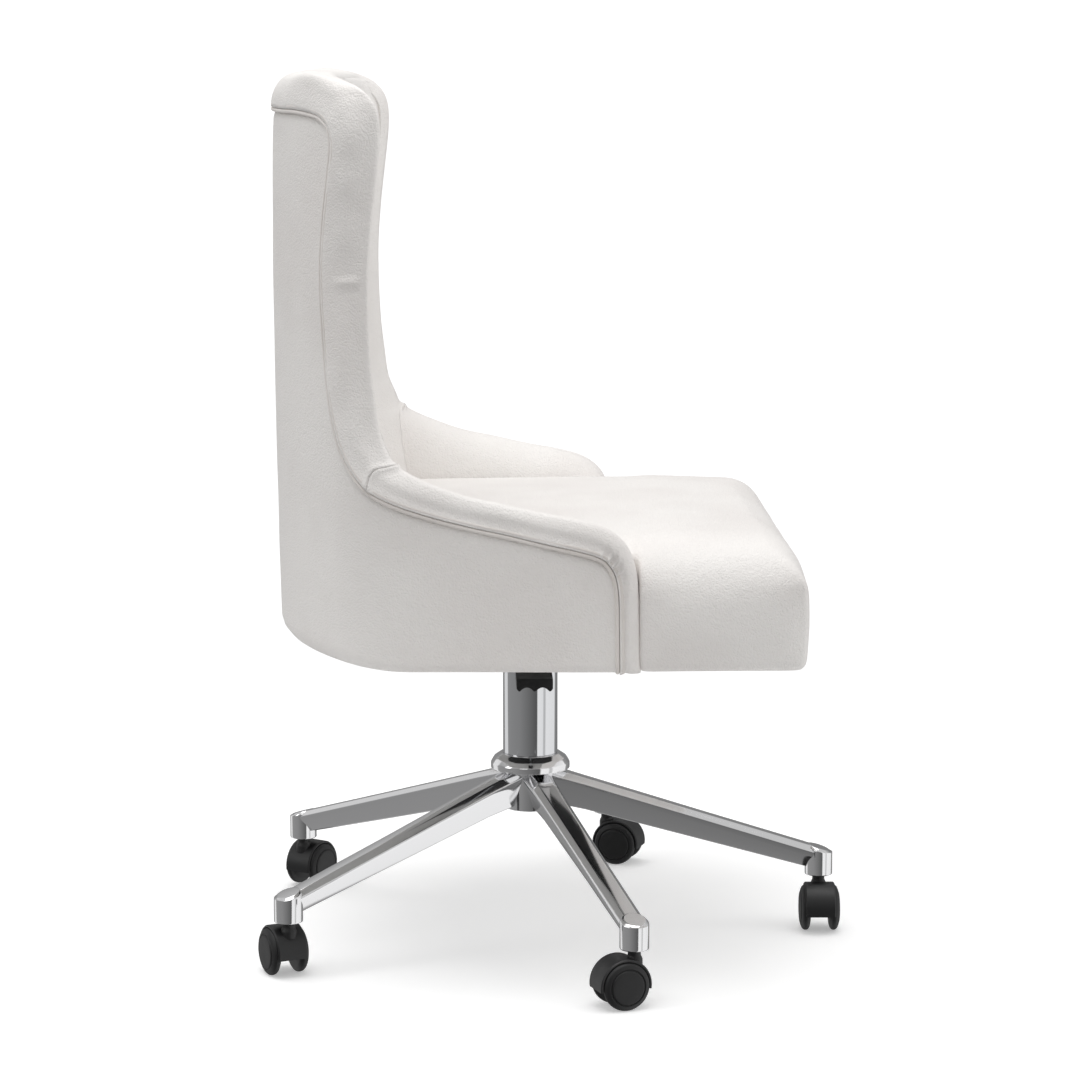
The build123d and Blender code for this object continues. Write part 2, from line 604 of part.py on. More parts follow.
def build_borders(ridge, seam, seam_face):
    """Padded bands round the rim, and the two welt cords between them and the outer cover."""
    inner_line = offset(seam_face, WELT_T)
    outer_line = offset(seam_face, 2 * WELT_T + SLIP)
    above = block(-FAR, FAR, -FAR, FAR, SHELL_LOW_Z, FAR)
    past_x = ARM_FRONT_X + PAST
    skin = raised(shell_plan(-WELT_PROUD, past_x) - shell_plan(WELT_DEEP, past_x))
    inner = skin & (side_slab(inner_line) - side_slab(offset(seam_face, SLIP / 2))) & above
    outer = skin & (side_slab(outer_line) - side_slab(offset(seam_face, WELT_T + SLIP / 2))) & above
    save(inner, "inner_welt")
    save(outer, "outer_welt")
    rim = raised(shell_plan(0) - hollow_plan()) & ridge
    groove = raised(shell_plan(-WELT_PROUD, past_x + PAST) - shell_plan(WELT_DEEP + SLIP, past_x + PAST))
    rim -= side_slab(offset(seam_face, SLIP / 2))
    board_half = SHELL_HALF_Y - PAD_INSET + SLIP
    rim -= block(0, past_x, -board_half, board_half, SHELL_LOW_Z - PAST, BOARD_TOP_Z + SLIP)
    rim -= groove & side_slab(offset(seam_face, 2 * WELT_T + SLIP * 1.5))
    arm_start = BORDER_SPLIT_X + SLIP / 2
    save(rim & block(-FAR, BORDER_SPLIT_X - SLIP / 2, -FAR, FAR, 0, FAR), "back_border")
    save(rim & block(arm_start, FAR, 0, FAR, 0, FAR), "left_arm_border")
    save(rim & block(arm_start, FAR, -FAR, 0, 0, FAR), "right_arm_border")


# ---- seat -------------------------------------------------------------------------------------
def build_seat():
    """Plywood seat board, its dust cover and the one-piece cushion."""
    board_half = SHELL_HALF_Y - PAD_INSET
    front = block(ARM_FRONT_X - 1, BOARD_FRONT_X, -board_half, board_half, BOARD_LOW_Z, BOARD_TOP_Z)
    board = raised(shell_plan(PAD_INSET), BOARD_LOW_Z, BOARD_TOP_Z) + front
    dust = raised(shell_plan(PAD_INSET), SHELL_LOW_Z, BOARD_LOW_Z)
    dust += block(ARM_FRONT_X - 1, BOARD_FRONT_X, -board_half, board_half, SHELL_LOW_Z, BOARD_LOW_Z)
    for x, y in screw_places():
        board -= at(disc(TNUT_BARREL_R + EPS, BOARD_LOW_Z - 1, BOARD_TOP_Z + 1), x, y)
        dust -= at(disc(TNUT_BARREL_R, SHELL_LOW_Z - 1, BOARD_LOW_Z + 1), x, y)
    save(board, "seat_board")
    save(dust, "dust_cover")
    cushion_low = BOARD_TOP_Z + TNUT_FLANGE_T + SLIP
    nose = block(ARM_FRONT_X + 2, SEAT_FRONT_X, -SEAT_HALF_Y, SEAT_HALF_Y, SHELL_LOW_Z, SEAT_TOP_Z)
    nose = fillet(nose.edges().filter_by(Axis.Z).group_by(Axis.X)[-1], SEAT_CORNER_R)
    top_edges = nose.faces().sort_by(Axis.Z)[-1].edges()
    rounded = [e for e in top_edges if e.center().X > ARM_FRONT_X + 10]
    nose = fillet(rounded, SEAT_TOP_EDGE_R)
    nose -= block(0, BOARD_FRONT_X + SLIP, -board_half - SLIP, board_half + SLIP, SHELL_LOW_Z - PAST,
                  cushion_low)
    rear = raised(hollow_plan(SLIP), cushion_low, SEAT_TOP_Z)
    rear += block(ARM_FRONT_X - 2, ARM_FRONT_X + 3, SLIP - ARM_INNER_Y, ARM_INNER_Y - SLIP,
                  cushion_low, SEAT_TOP_Z)
    save(nose + rear, "seat_cushion")


os.makedirs("parts", exist_ok=True)
save(base_star(), "base_star")
save(caster_sockets(), "caster_sockets")
build_casters()
build_lift()
build_column_covers()
build_mechanism()
build_shell()
build_seat()
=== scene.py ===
"""Looks of an upholstered swivel desk chair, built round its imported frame.

The chair faces +X with +Z up, and its swivel axis stands on the origin. Sizes are in millimetres and become
metres where a mesh is made.
"""
import json
import logging
import math
from dataclasses import dataclass
from enum import Enum
from typing import Callable, Sequence

import bmesh
import bpy
from mathutils import Matrix, Vector, noise

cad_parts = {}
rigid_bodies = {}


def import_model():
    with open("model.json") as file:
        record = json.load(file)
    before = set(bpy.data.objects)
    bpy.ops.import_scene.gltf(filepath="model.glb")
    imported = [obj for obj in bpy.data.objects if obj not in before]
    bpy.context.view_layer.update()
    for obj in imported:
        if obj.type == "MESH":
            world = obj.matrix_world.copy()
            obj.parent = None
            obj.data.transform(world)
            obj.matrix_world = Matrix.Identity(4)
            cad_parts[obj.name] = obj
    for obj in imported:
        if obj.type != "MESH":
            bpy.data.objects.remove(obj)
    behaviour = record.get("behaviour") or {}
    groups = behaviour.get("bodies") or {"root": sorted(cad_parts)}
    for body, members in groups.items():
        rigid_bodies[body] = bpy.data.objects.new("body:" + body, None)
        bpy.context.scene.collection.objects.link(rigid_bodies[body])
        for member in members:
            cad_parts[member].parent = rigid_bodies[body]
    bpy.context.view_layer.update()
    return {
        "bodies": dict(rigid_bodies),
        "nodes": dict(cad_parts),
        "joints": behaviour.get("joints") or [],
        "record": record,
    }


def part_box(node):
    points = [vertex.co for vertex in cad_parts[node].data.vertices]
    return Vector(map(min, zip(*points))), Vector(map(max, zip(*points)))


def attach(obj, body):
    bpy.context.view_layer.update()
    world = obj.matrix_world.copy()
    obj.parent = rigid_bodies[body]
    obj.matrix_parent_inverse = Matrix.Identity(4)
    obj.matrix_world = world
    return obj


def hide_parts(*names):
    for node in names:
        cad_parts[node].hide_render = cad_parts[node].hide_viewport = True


LOG = logging.getLogger("swivel_chair")
MM = 0.001
Spot = tuple[float, float, float]
Surface = Callable[[float, float], Vector]


class Side(Enum):
    """Which hand of the sitter a piece lies on, as the sign of Y."""

    LEFT = 1
    RIGHT = -1


# ---- small tools ------------------------------------------------------------------------------
def linear(hex_colour: str) -> tuple[float, float, float, float]:
    """Turn an sRGB hex colour into linear RGBA.

    Args:
        hex_colour: six hex digits, with or without a leading #.

    Returns:
        Linear red, green, blue and an alpha of 1.
    """
    digits = hex_colour.lstrip("#")
    channels = [int(digits[i:i + 2], 16) / 255 for i in (0, 2, 4)]
    red, green, blue = [c / 12.92 if c <= 0.04045 else ((c + 0.055) / 1.055) ** 2.4 for c in channels]
    return red, green, blue, 1.0


def smooth(value: float) -> float:
    """Ease a value from 0 to 1 with flat ends, clamped outside."""
    value = min(1.0, max(0.0, value))
    return value * value * (3 - 2 * value)


def mix(low: float, high: float, share: float) -> float:
    """Blend two numbers."""
    return low + (high - low) * share


def bump(value: float, width: float) -> float:
    """Bell of height 1 at 0 that fades out over a width."""
    return math.exp(-(value / width) ** 2)


class KeyCurve:
    """A smooth curve through key points, at parameters shared with other curves."""

    def __init__(self, params: Sequence[float], points: Sequence[Vector]) -> None:
        """Store the keys and their slopes.

        Args:
            params: rising parameter of each key.
            points: the key points.
        """
        self.params = list(params)
        self.points = [Vector(p) for p in points]
        self.slopes: list[Vector] = []
        last = len(self.points) - 1
        for i in range(last + 1):
            low, high = max(0, i - 1), min(last, i + 1)
            rise = self.points[high] - self.points[low]
            self.slopes.append(rise / (self.params[high] - self.params[low]))

    def at(self, param: float) -> Vector:
        """Point at a parameter, clamped to the curve's ends."""
        params = self.params
        param = min(params[-1], max(params[0], param))
        i = 0
        while i < len(params) - 2 and params[i + 1] < param:
            i += 1
        step = params[i + 1] - params[i]
        t = (param - params[i]) / step
        low, high = self.points[i], self.points[i + 1]
        rise = self.slopes[i] * step, self.slopes[i + 1] * step
        t2, t3 = t * t, t * t * t
        return (low * (2 * t3 - 3 * t2 + 1) + rise[0] * (t3 - 2 * t2 + t)
                + high * (3 * t2 - 2 * t3) + rise[1] * (t3 - t2))


def add_node(tree: bpy.types.NodeTree, kind: str, settings: dict | None = None,
             links: dict | None = None) -> bpy.types.Node:
    """Add a shader node with its settings and links.

    Args:
        tree: the node tree.
        kind: the node's type name.
        settings: input name or index to value, or attribute name to value.
        links: input name or index to the output socket that feeds it.

    Returns:
        The new node.
    """
    node = tree.nodes.new(kind)
    for key, value in (settings or {}).items():
        if isinstance(key, str) and hasattr(node, key) and key not in node.inputs:
            setattr(node, key, value)
        else:
            node.inputs[key].default_value = value
    for key, socket in (links or {}).items():
        tree.links.new(socket, node.inputs[key])
    return node


def piece_from(name: str, bm: bmesh.types.BMesh) -> bpy.types.Object:
    """Merge a mesh's doubles, turn its faces outwards and make a scene object of it.

    Args:
        name: the piece's name.
        bm: the mesh in millimetres, freed here.

    Returns:
        The object, at the origin, smooth shaded.
    """
    bmesh.ops.remove_doubles(bm, verts=bm.verts[:], dist=0.005)
    bmesh.ops.recalc_face_normals(bm, faces=bm.faces[:])
    bmesh.ops.scale(bm, vec=(MM, MM, MM), verts=bm.verts[:])
    mesh = bpy.data.meshes.new(name)
    bm.to_mesh(mesh)
    bm.free()
    mesh.polygons.foreach_set("use_smooth", [True] * len(mesh.polygons))
    obj = bpy.data.objects.new(name, mesh)
    bpy.context.scene.collection.objects.link(obj)
    return obj


def dress(obj: bpy.types.Object, body: str, material: bpy.types.Material,
          replaces: Sequence[str] = ()) -> bpy.types.Object:
    """Give a piece its material and body, and hide what it stands for.

    Args:
        obj: the piece.
        body: the CAD body it rides on.
        material: its finish.
        replaces: CAD nodes that it stands for.

    Returns:
        The same piece.
    """
    obj.data.materials.clear()
    obj.data.materials.append(material)
    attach(obj, body)
    if replaces:
        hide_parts(*replaces)
    LOG.info("%s: %d faces on %s", obj.name, len(obj.data.polygons), body)
    return obj


def edit_mesh(obj: bpy.types.Object, change: Callable[[bmesh.types.BMesh], None]) -> None:
    """Open a piece's mesh, change it and write it back.

    Args:
        obj: the piece.
        change: what is done to the open mesh.
    """
    bm = bmesh.new()
    bm.from_mesh(obj.data)
    bm.normal_update()
    change(bm)
    bm.to_mesh(obj.data)
    bm.free()


def turn_faces(obj: bpy.types.Object, vote: Callable[[bmesh.types.BMesh], float]) -> None:
    """Reverse an open skin's faces where a vote on them is negative.

    Args:
        obj: the skin.
        vote: gives a number below 0 where the faces look the wrong way.
    """

    def change(bm: bmesh.types.BMesh) -> None:
        """Reverse every face if the vote asks for it."""
        if vote(bm) < 0:
            bmesh.ops.reverse_faces(bm, faces=bm.faces[:])

    edit_mesh(obj, change)


def face_to(obj: bpy.types.Object, way: Vector) -> None:
    """Turn an open skin so that its faces look mostly one way."""
    turn_faces(obj, lambda bm: sum(f.normal.dot(way) * f.calc_area() for f in bm.faces))


def sharpen(obj: bpy.types.Object, degrees: float) -> None:
    """Keep edges sharper than an angle crisp in the shading."""

    def change(bm: bmesh.types.BMesh) -> None:
        """Mark the edges."""
        for edge in bm.edges:
            if len(edge.link_faces) == 2 and edge.calc_face_angle(0) > math.radians(degrees):
                edge.smooth = False

    edit_mesh(obj, change)


def join_into(whole: bmesh.types.BMesh, part: bmesh.types.BMesh) -> None:
    """Add one open mesh to another, and free it."""
    mesh = bpy.data.meshes.new("part")
    part.to_mesh(mesh)
    part.free()
    whole.from_mesh(mesh)
    bpy.data.meshes.remove(mesh)


def grid_surface(across: int, along: int, surface: Surface) -> bmesh.types.BMesh:
    """Bend a flat grid onto a surface.

    Args:
        across: cells in the first direction.
        along: cells in the second direction.
        surface: point in millimetres for two parameters from 0 to 1.

    Returns:
        The open mesh.
    """
    bm = bmesh.new()
    bmesh.ops.create_grid(bm, x_segments=across, y_segments=along, size=0.5)
    for vert in bm.verts:
        vert.co = surface(vert.co.x + 0.5, vert.co.y + 0.5)
    return bm


def add_thickness(obj: bpy.types.Object, thickness: float) -> None:
    """Close a skin inwards with a wall.

    Args:
        obj: the skin.
        thickness: the wall, in millimetres.
    """
    wall = obj.modifiers.new("wall", "SOLIDIFY")
    wall.thickness = thickness * MM
    wall.offset = -1


def spun_profile(points: Sequence[tuple[float, float]], steps: int = 64) -> bmesh.types.BMesh:
    """Spin a radius and height profile about Z.

    Args:
        points: (radius, height) pairs of a closed or open outline.
        steps: steps round the full turn.

    Returns:
        The mesh, with its doubles still in.
    """
    bm = bmesh.new()
    verts = [bm.verts.new((r, 0, z)) for r, z in points]
    edges = [bm.edges.new(pair) for pair in zip(verts, verts[1:])]
    bmesh.ops.spin(bm, geom=verts + edges, axis=(0, 0, 1), cent=(0, 0, 0), dvec=(0, 0, 0),
                   angle=2 * math.pi, steps=steps, use_merge=True, use_normal_flip=False,
                   use_duplicate=False)
    bmesh.ops.remove_doubles(bm, verts=bm.verts[:], dist=0.001)
    bmesh.ops.recalc_face_normals(bm, faces=bm.faces[:])
    return bm


def rounded_profile(points: Sequence[tuple[float, float]], radius: float,
                    steps: int = 4) -> list[tuple[float, float]]:
    """Round the inner corners of an outline.

    Args:
        points: the outline.
        radius: distance from each corner where its curve starts.
        steps: steps in each curve.

    Returns:
        The outline with each inner corner a short curve.
    """
    out = [tuple(points[0])]
    for before, corner, after in zip(points, points[1:], points[2:]):
        b, c, a = Vector(before), Vector(corner), Vector(after)
        reach = min(radius, (b - c).length * 0.49, (a - c).length * 0.49)
        start, end = c + (b - c).normalized() * reach, c + (a - c).normalized() * reach
        for k in range(steps + 1):
            t = k / steps
            out.append(tuple(start * (1 - t) ** 2 + c * 2 * t * (1 - t) + end * t * t))
    out.append(tuple(points[-1]))
    return out


def tube_along(name: str, points: Sequence[Vector], radius: float) -> bpy.types.Object:
    """Make a round cord that follows points.

    Args:
        name: the piece's name.
        points: the route, in millimetres.
        radius: the cord's radius, in millimetres.

    Returns:
        The cord as a mesh object.
    """
    curve = bpy.data.curves.new(name, "CURVE")
    curve.dimensions = "3D"
    curve.bevel_depth = radius * MM
    curve.bevel_resolution = 3
    curve.use_fill_caps = True
    spline = curve.splines.new("POLY")
    spline.points.add(len(points) - 1)
    for point, spot in zip(spline.points, points):
        point.co = (*(spot * MM), 1)
    holder = bpy.data.objects.new(name + "_route", curve)
    bpy.context.scene.collection.objects.link(holder)
    bpy.context.view_layer.update()
    mesh = bpy.data.meshes.new_from_object(holder.evaluated_get(bpy.context.evaluated_depsgraph_get()))
    bpy.data.objects.remove(holder)
    mesh.name = name
    mesh.polygons.foreach_set("use_smooth", [True] * len(mesh.polygons))
    obj = bpy.data.objects.new(name, mesh)
    bpy.context.scene.collection.objects.link(obj)
    return obj


# ---- finishes ---------------------------------------------------------------------------------
def new_material(name: str) -> tuple[bpy.types.Material, bpy.types.NodeTree, bpy.types.Node]:
    """A node material with only its Principled shader, and that shader."""
    material = bpy.data.materials.new(name)
    material.use_nodes = True
    shader = material.node_tree.nodes["Principled BSDF"]
    return material, material.node_tree, shader


@dataclass(frozen=True)
class CoatedLeather:
    """Pigmented cow leather with a printed pebble grain and a soft, waxy top coat."""

    name: str = "coated_leather"
    colour: str = "#F1EEEB"
    shade: str = "#EBE7E4"
    grain_mm: float = 1.9       # pebble width
    crease_mm: float = 9.0
    patch_mm: float = 160.0
    roughness: float = 0.5
    grain_depth_mm: float = 0.55

    def make(self) -> bpy.types.Material:
        """Build the node tree and return the material."""
        material, tree, shader = new_material(self.name)
        place = add_node(tree, "ShaderNodeTexCoord").outputs["Object"]
        patch = add_node(tree, "ShaderNodeTexNoise", {"Scale": 1 / (self.patch_mm * MM), "Detail": 2.0},
                         {"Vector": place})
        tint = add_node(tree, "ShaderNodeMix", {"data_type": "RGBA", "blend_type": "MIX"})
        tint.inputs[6].default_value = linear(self.shade)
        tint.inputs[7].default_value = linear(self.colour)
        soften = add_node(tree, "ShaderNodeMapRange", {"From Min": 0.35, "From Max": 0.6},
                          {"Value": patch.outputs["Fac"]})
        tree.links.new(soften.outputs["Result"], tint.inputs[0])
        tree.links.new(tint.outputs[2], shader.inputs["Base Color"])
        warp = add_node(tree, "ShaderNodeTexNoise", {"Scale": 0.3 / (self.grain_mm * MM), "Detail": 1.0},
                        {"Vector": place})
        warped = add_node(tree, "ShaderNodeMixRGB", {"blend_type": "LINEAR_LIGHT", "Fac": self.grain_mm * MM},
                          {"Color1": place, "Color2": warp.outputs["Color"]})
        pebble = add_node(tree, "ShaderNodeTexVoronoi",
                          {"Scale": 1 / (self.grain_mm * MM), "feature": "SMOOTH_F1", "Smoothness": 0.6},
                          {"Vector": warped.outputs["Color"]})
        crease = add_node(tree, "ShaderNodeTexNoise", {"Scale": 1 / (self.crease_mm * MM), "Detail": 4.0},
                          {"Vector": place})
        height = add_node(tree, "ShaderNodeMath", {"operation": "MULTIPLY_ADD", 1: 0.9},
                          {0: crease.outputs["Fac"], 2: pebble.outputs["Distance"]})
        relief = add_node(tree, "ShaderNodeBump", {"Strength": 1.0, "Distance": self.grain_depth_mm * MM},
                          {"Height": height.outputs[0]})
        relief.invert = True
        tree.links.new(relief.outputs["Normal"], shader.inputs["Normal"])
        gloss = add_node(tree, "ShaderNodeMapRange",
                         {"To Min": self.roughness - 0.05, "To Max": self.roughness + 0.08},
                         {"Value": crease.outputs["Fac"]})
        tree.links.new(gloss.outputs["Result"], shader.inputs["Roughness"])
        shader.inputs["IOR"].default_value = 1.46
        shader.inputs["Specular IOR Level"].default_value = 0.42
        shader.inputs["Sheen Weight"].default_value = 0.05
        shader.inputs["Sheen Roughness"].default_value = 0.5
        return material


@dataclass(frozen=True)
class BareMetal:
    """A bare or plated metal; the noise gives the faint haze that hand polishing leaves."""

    name: str
    colour: str
    roughness: float
    haze: float = 0.05
    haze_mm: float = 22.0
    ripple_mm: float = 0.0      # height of the slow ripple in the polished skin

    def make(self) -> bpy.types.Material:
        """Build the node tree and return the material."""
        material, tree, shader = new_material(self.name)
        place = add_node(tree, "ShaderNodeTexCoord").outputs["Object"]
        cloud = add_node(tree, "ShaderNodeTexNoise", {"Scale": 1 / (self.haze_mm * MM), "Detail": 3.0},
                         {"Vector": place})
        gloss = add_node(tree, "ShaderNodeMapRange",
                         {"To Min": max(0.02, self.roughness - self.haze),
                          "To Max": self.roughness + self.haze},
                         {"Value": cloud.outputs["Fac"]})
        tree.links.new(gloss.outputs["Result"], shader.inputs["Roughness"])
        if self.ripple_mm:
            relief = add_node(tree, "ShaderNodeBump", {"Strength": 0.6, "Distance": self.ripple_mm * MM},
                              {"Height": cloud.outputs["Fac"]})
            tree.links.new(relief.outputs["Normal"], shader.inputs["Normal"])
        shader.inputs["Base Color"].default_value = linear(self.colour)
        shader.inputs["Metallic"].default_value = 1.0
        return material


@dataclass(frozen=True)
class MouldedPlastic:
    """Moulded or coated dark surface with the fine spark-eroded texture of its mould."""

    name: str
    colour: str
    roughness: float
    grain_mm: float = 0.9
    depth_mm: float = 0.03
    ior: float = 1.5

    def make(self) -> bpy.types.Material:
        """Build the node tree and return the material."""
        material, tree, shader = new_material(self.name)
        place = add_node(tree, "ShaderNodeTexCoord").outputs["Object"]
        grain = add_node(tree, "ShaderNodeTexNoise", {"Scale": 1 / (self.grain_mm * MM), "Detail": 2.0},
                         {"Vector": place})
        wear = add_node(tree, "ShaderNodeTexNoise", {"Scale": 1 / (14 * MM), "Detail": 3.0},
                        {"Vector": place})
        gloss = add_node(tree, "ShaderNodeMapRange",
                         {"To Min": self.roughness - 0.06, "To Max": self.roughness + 0.08},
                         {"Value": wear.outputs["Fac"]})
        relief = add_node(tree, "ShaderNodeBump", {"Strength": 0.5, "Distance": self.depth_mm * MM},
                          {"Height": grain.outputs["Fac"]})
        tree.links.new(gloss.outputs["Result"], shader.inputs["Roughness"])
        tree.links.new(relief.outputs["Normal"], shader.inputs["Normal"])
        shader.inputs["Base Color"].default_value = linear(self.colour)
        shader.inputs["IOR"].default_value = self.ior
        return material


@dataclass(frozen=True)
class WovenLining:
    """Spun-bonded grey lining under the seat: a fine crossed weave."""

    name: str = "woven_lining"
    colour: str = "#B3B2B0"
    thread_mm: float = 1.2

    def make(self) -> bpy.types.Material:
        """Build the node tree and return the material."""
        material, tree, shader = new_material(self.name)
        place = add_node(tree, "ShaderNodeTexCoord").outputs["Object"]
        scale = 0.5 / (self.thread_mm * MM)
        warp = add_node(tree, "ShaderNodeTexWave", {"Scale": scale, "bands_direction": "X"},
                        {"Vector": place})
        weft = add_node(tree, "ShaderNodeTexWave", {"Scale": scale, "bands_direction": "Y"},
                        {"Vector": place})
        weave = add_node(tree, "ShaderNodeMath", {"operation": "MAXIMUM"},
                         {0: warp.outputs["Fac"], 1: weft.outputs["Fac"]})
        relief = add_node(tree, "ShaderNodeBump", {"Strength": 0.5, "Distance": 0.1 * MM},
                          {"Height": weave.outputs[0]})
        tree.links.new(relief.outputs["Normal"], shader.inputs["Normal"])
        shader.inputs["Base Color"].default_value = linear(self.colour)
        shader.inputs["Roughness"].default_value = 0.9
        return material


@dataclass(frozen=True)
class BeechPly:
    """Beech plywood, rotary cut: long soft rings across the sheet."""

    name: str = "beech_plywood"
    light: str = "#C9A274"
    dark: str = "#A97F50"
    ring_mm: float = 18.0

    def make(self) -> bpy.types.Material:
        """Build the node tree and return the material."""
        material, tree, shader = new_material(self.name)
        place = add_node(tree, "ShaderNodeTexCoord").outputs["Object"]
        rings = add_node(tree, "ShaderNodeTexWave",
                         {"Scale": 0.3 / (self.ring_mm * MM), "Distortion": 5.0, "Detail": 3.0},
                         {"Vector": place})
        tint = add_node(tree, "ShaderNodeMixRGB", {"Color1": linear(self.light), "Color2": linear(self.dark)},
                        {"Fac": rings.outputs["Fac"]})
        tree.links.new(tint.outputs["Color"], shader.inputs["Base Color"])
        shader.inputs["Roughness"].default_value = 0.6
        return material


class Finishes:
    """Every finish of the chair, made once."""

    def __init__(self) -> None:
        """Make the materials."""
        self.leather = CoatedLeather().make()
        # Welt cords: the cover's leather with a darker colour and shade, a painted shade for the grooves
        # along the welted seams.
        self.welt_leather_painted_shade = CoatedLeather(name="welt_leather_painted_shade", colour="#E9E4E0", shade="#DCD6D1",
                                          grain_depth_mm=0.1).make()
        self.aluminium = BareMetal("polished_cast_aluminium", "#EBEBEC", 0.1, 0.03, 30.0, 0.05).make()
        self.chrome = BareMetal("chrome_plate", "#DCDDDF", 0.06, 0.02).make()
        self.steel = BareMetal("bright_zinc_plate", "#B4B5B8", 0.32, 0.08, 8.0).make()
        self.nylon = MouldedPlastic("black_nylon", "#19191A", 0.42).make()
        self.tread = MouldedPlastic("black_polyurethane_tread", "#141415", 0.5).make()
        self.paint = MouldedPlastic("black_powder_coat", "#1B1B1C", 0.45, 1.4, 0.05).make()
        self.rubber = MouldedPlastic("nitrile_rubber", "#121212", 0.7).make()
        self.lining = WovenLining().make()
        self.ply = BeechPly().make()


# ---- upholstered shell ------------------------------------------------------------------------
@dataclass
class ShellForm:
    """Outer wall of the back and arms: a bowed back, round corners and straight sides."""

    rear_x: float = -276.0
    bow_r: float = 480.0
    corner_r: float = 95.0
    half_y: float = 292.0
    flare: float = 4.5          # how much wider the arms are at their front
    low_z: float = 343.5
    side_edge_r: float = 8.0    # rounding of the bottom edge under the arms
    rear_edge_r: float = 19.0   # and under the back
    tuck: float = 24.0          # leather turned under the bottom edge

    def __post_init__(self) -> None:
        """Work out where the arcs meet."""
        self.bow_x = self.rear_x + self.bow_r
        reach = self.bow_r - self.corner_r
        self.corner_y = self.half_y - self.corner_r
        self.corner_x = self.bow_x - math.sqrt(reach ** 2 - self.corner_y ** 2)
        self.turn = math.asin(self.corner_y / reach)
        self.bow_len = self.bow_r * self.turn
        self.bend_len = self.bow_len + self.corner_r * (math.pi / 2 - self.turn)

    def run_to(self, x: float) -> float:
        """Distance along the outline from the middle of the back to where it reaches x."""
        if x > self.corner_x:
            return self.bend_len + x - self.corner_x
        if x > self.bow_x - self.bow_r * math.cos(self.turn):
            angle = math.acos((self.corner_x - x) / self.corner_r)
            return self.bow_len + self.corner_r * (angle - self.turn)
        return self.bow_r * math.acos(min(1.0, (self.bow_x - x) / self.bow_r))

    def outline(self, run: float) -> tuple[Vector, Vector]:
        """Point and outward direction on the outline, left side for a positive run."""
        a = abs(run)
        if a < self.bow_len:
            angle, centre, radius = a / self.bow_r, (self.bow_x, 0.0), self.bow_r
        elif a < self.bend_len:
            angle = self.turn + (a - self.bow_len) / self.corner_r
            centre, radius = (self.corner_x, self.corner_y), self.corner_r
        else:
            angle = math.pi / 2
            centre, radius = (self.corner_x + a - self.bend_len, self.corner_y), self.corner_r
        normal = Vector((-math.cos(angle), math.sin(angle), 0))
        spot = Vector((centre[0], centre[1], 0)) + normal * radius
        spot.y += self.flare * smooth((spot.x + 120) / 190)
        if run < 0:
            spot.y, normal.y = -spot.y, -normal.y
        return spot, normal

    def wall(self, run: float, z: float, lift: float = 0.0) -> Vector:
        """Point on the outer wall.

        Args:
            run: distance along the outline from the middle of the back.
            z: height; below the bottom edge it goes on under the chair.
            lift: distance outwards from the wall.

        Returns:
            The point.
        """
        spot, normal = self.outline(run)
        rear = smooth(-normal.x * 1.15)
        edge_r = mix(self.side_edge_r, self.rear_edge_r, rear)
        lean = 5.5 * max(0.0, (760 - z) / 413) ** 2 + 2.5 * max(0.0, (z - 760) / 145) ** 2
        inset = lean * rear
        height = z
        if z < self.low_z:
            inset += edge_r + (self.low_z - z)
            height = self.low_z + lift
            lift = 0.0
        elif z < self.low_z + edge_r:
            inset += edge_r - math.sqrt(edge_r ** 2 - (edge_r - (z - self.low_z)) ** 2)
        spot = spot - normal * (inset - lift)
        spot.z = height
        return spot


# Stations along the rim of the left side, from the foot of the arm's front to the top of the back:
# welted seam as (x, z) on the side wall, then the ridge and the inner edge as (x, y, z).
SIDE_STATIONS: tuple[tuple[tuple[float, float], Spot, Spot], ...] = (
    ((84.0, 343.5), (104.3, 294, 343.5), (103.5, 266, 343.5)),
    ((83.3, 400), (103.2, 294, 397), (102.5, 266, 397)),
    ((82.4, 425), (101.5, 293, 437), (100.0, 266, 431)),
    ((79.5, 442), (97.0, 291.5, 461), (94.0, 266, 451)),
    ((74.0, 453), (88.0, 290, 479), (84.0, 264, 466)),
    ((65.0, 461.5), (70.0, 288.5, 493), (66.0, 262, 478)),
    ((46.0, 468), (46.0, 288, 500.5), (44.0, 260, 485)),
    ((11.0, 476), (5.0, 287, 508), (4.0, 259, 493)),
    ((-29.0, 485.5), (-38.0, 286, 517.5), (-38.0, 258, 502)),
    ((-70.0, 494.5), (-70.0, 285.5, 524.5), (-70.0, 257, 509)),
    ((-110.0, 505), (-98.0, 284.5, 534), (-98.0, 255, 518)),
    ((-148.0, 518), (-124.0, 281, 545), (-126.0, 251, 530)),
    ((-172.0, 531), (-141.5, 276, 556), (-145.0, 247, 543)),
    ((-188.0, 550), (-151.0, 272, 571), (-157.0, 243, 560)),
    ((-199.0, 575), (-157.0, 269, 590), (-165.0, 239, 583)),
    ((-207.0, 612), (-161.5, 267, 621), (-171.0, 236, 617)),
    ((-211.5, 660), (-165.5, 265.5, 661), (-175.0, 234, 659)),
    ((-215.0, 740), (-167.5, 265, 736), (-178.0, 233, 737)),
    ((-212.0, 795), (-164.0, 265, 791), (-175.0, 233, 792)),
    ((-206.5, 846), (-157.5, 265.5, 846), (-169.0, 233, 845)),
    ((-204.8, 872), (-154.7, 265, 881), (-166.0, 232.5, 875)),
    ((-207.0, 888), (-156.0, 264, 905), (-167.0, 231.5, 893)),
    ((-212.0, 896.5), (-162.0, 260.5, 919.5), (-172.0, 228, 904)),
    ((-221.0, 903), (-173.0, 253, 930), (-180.0, 222, 911.5)),
)
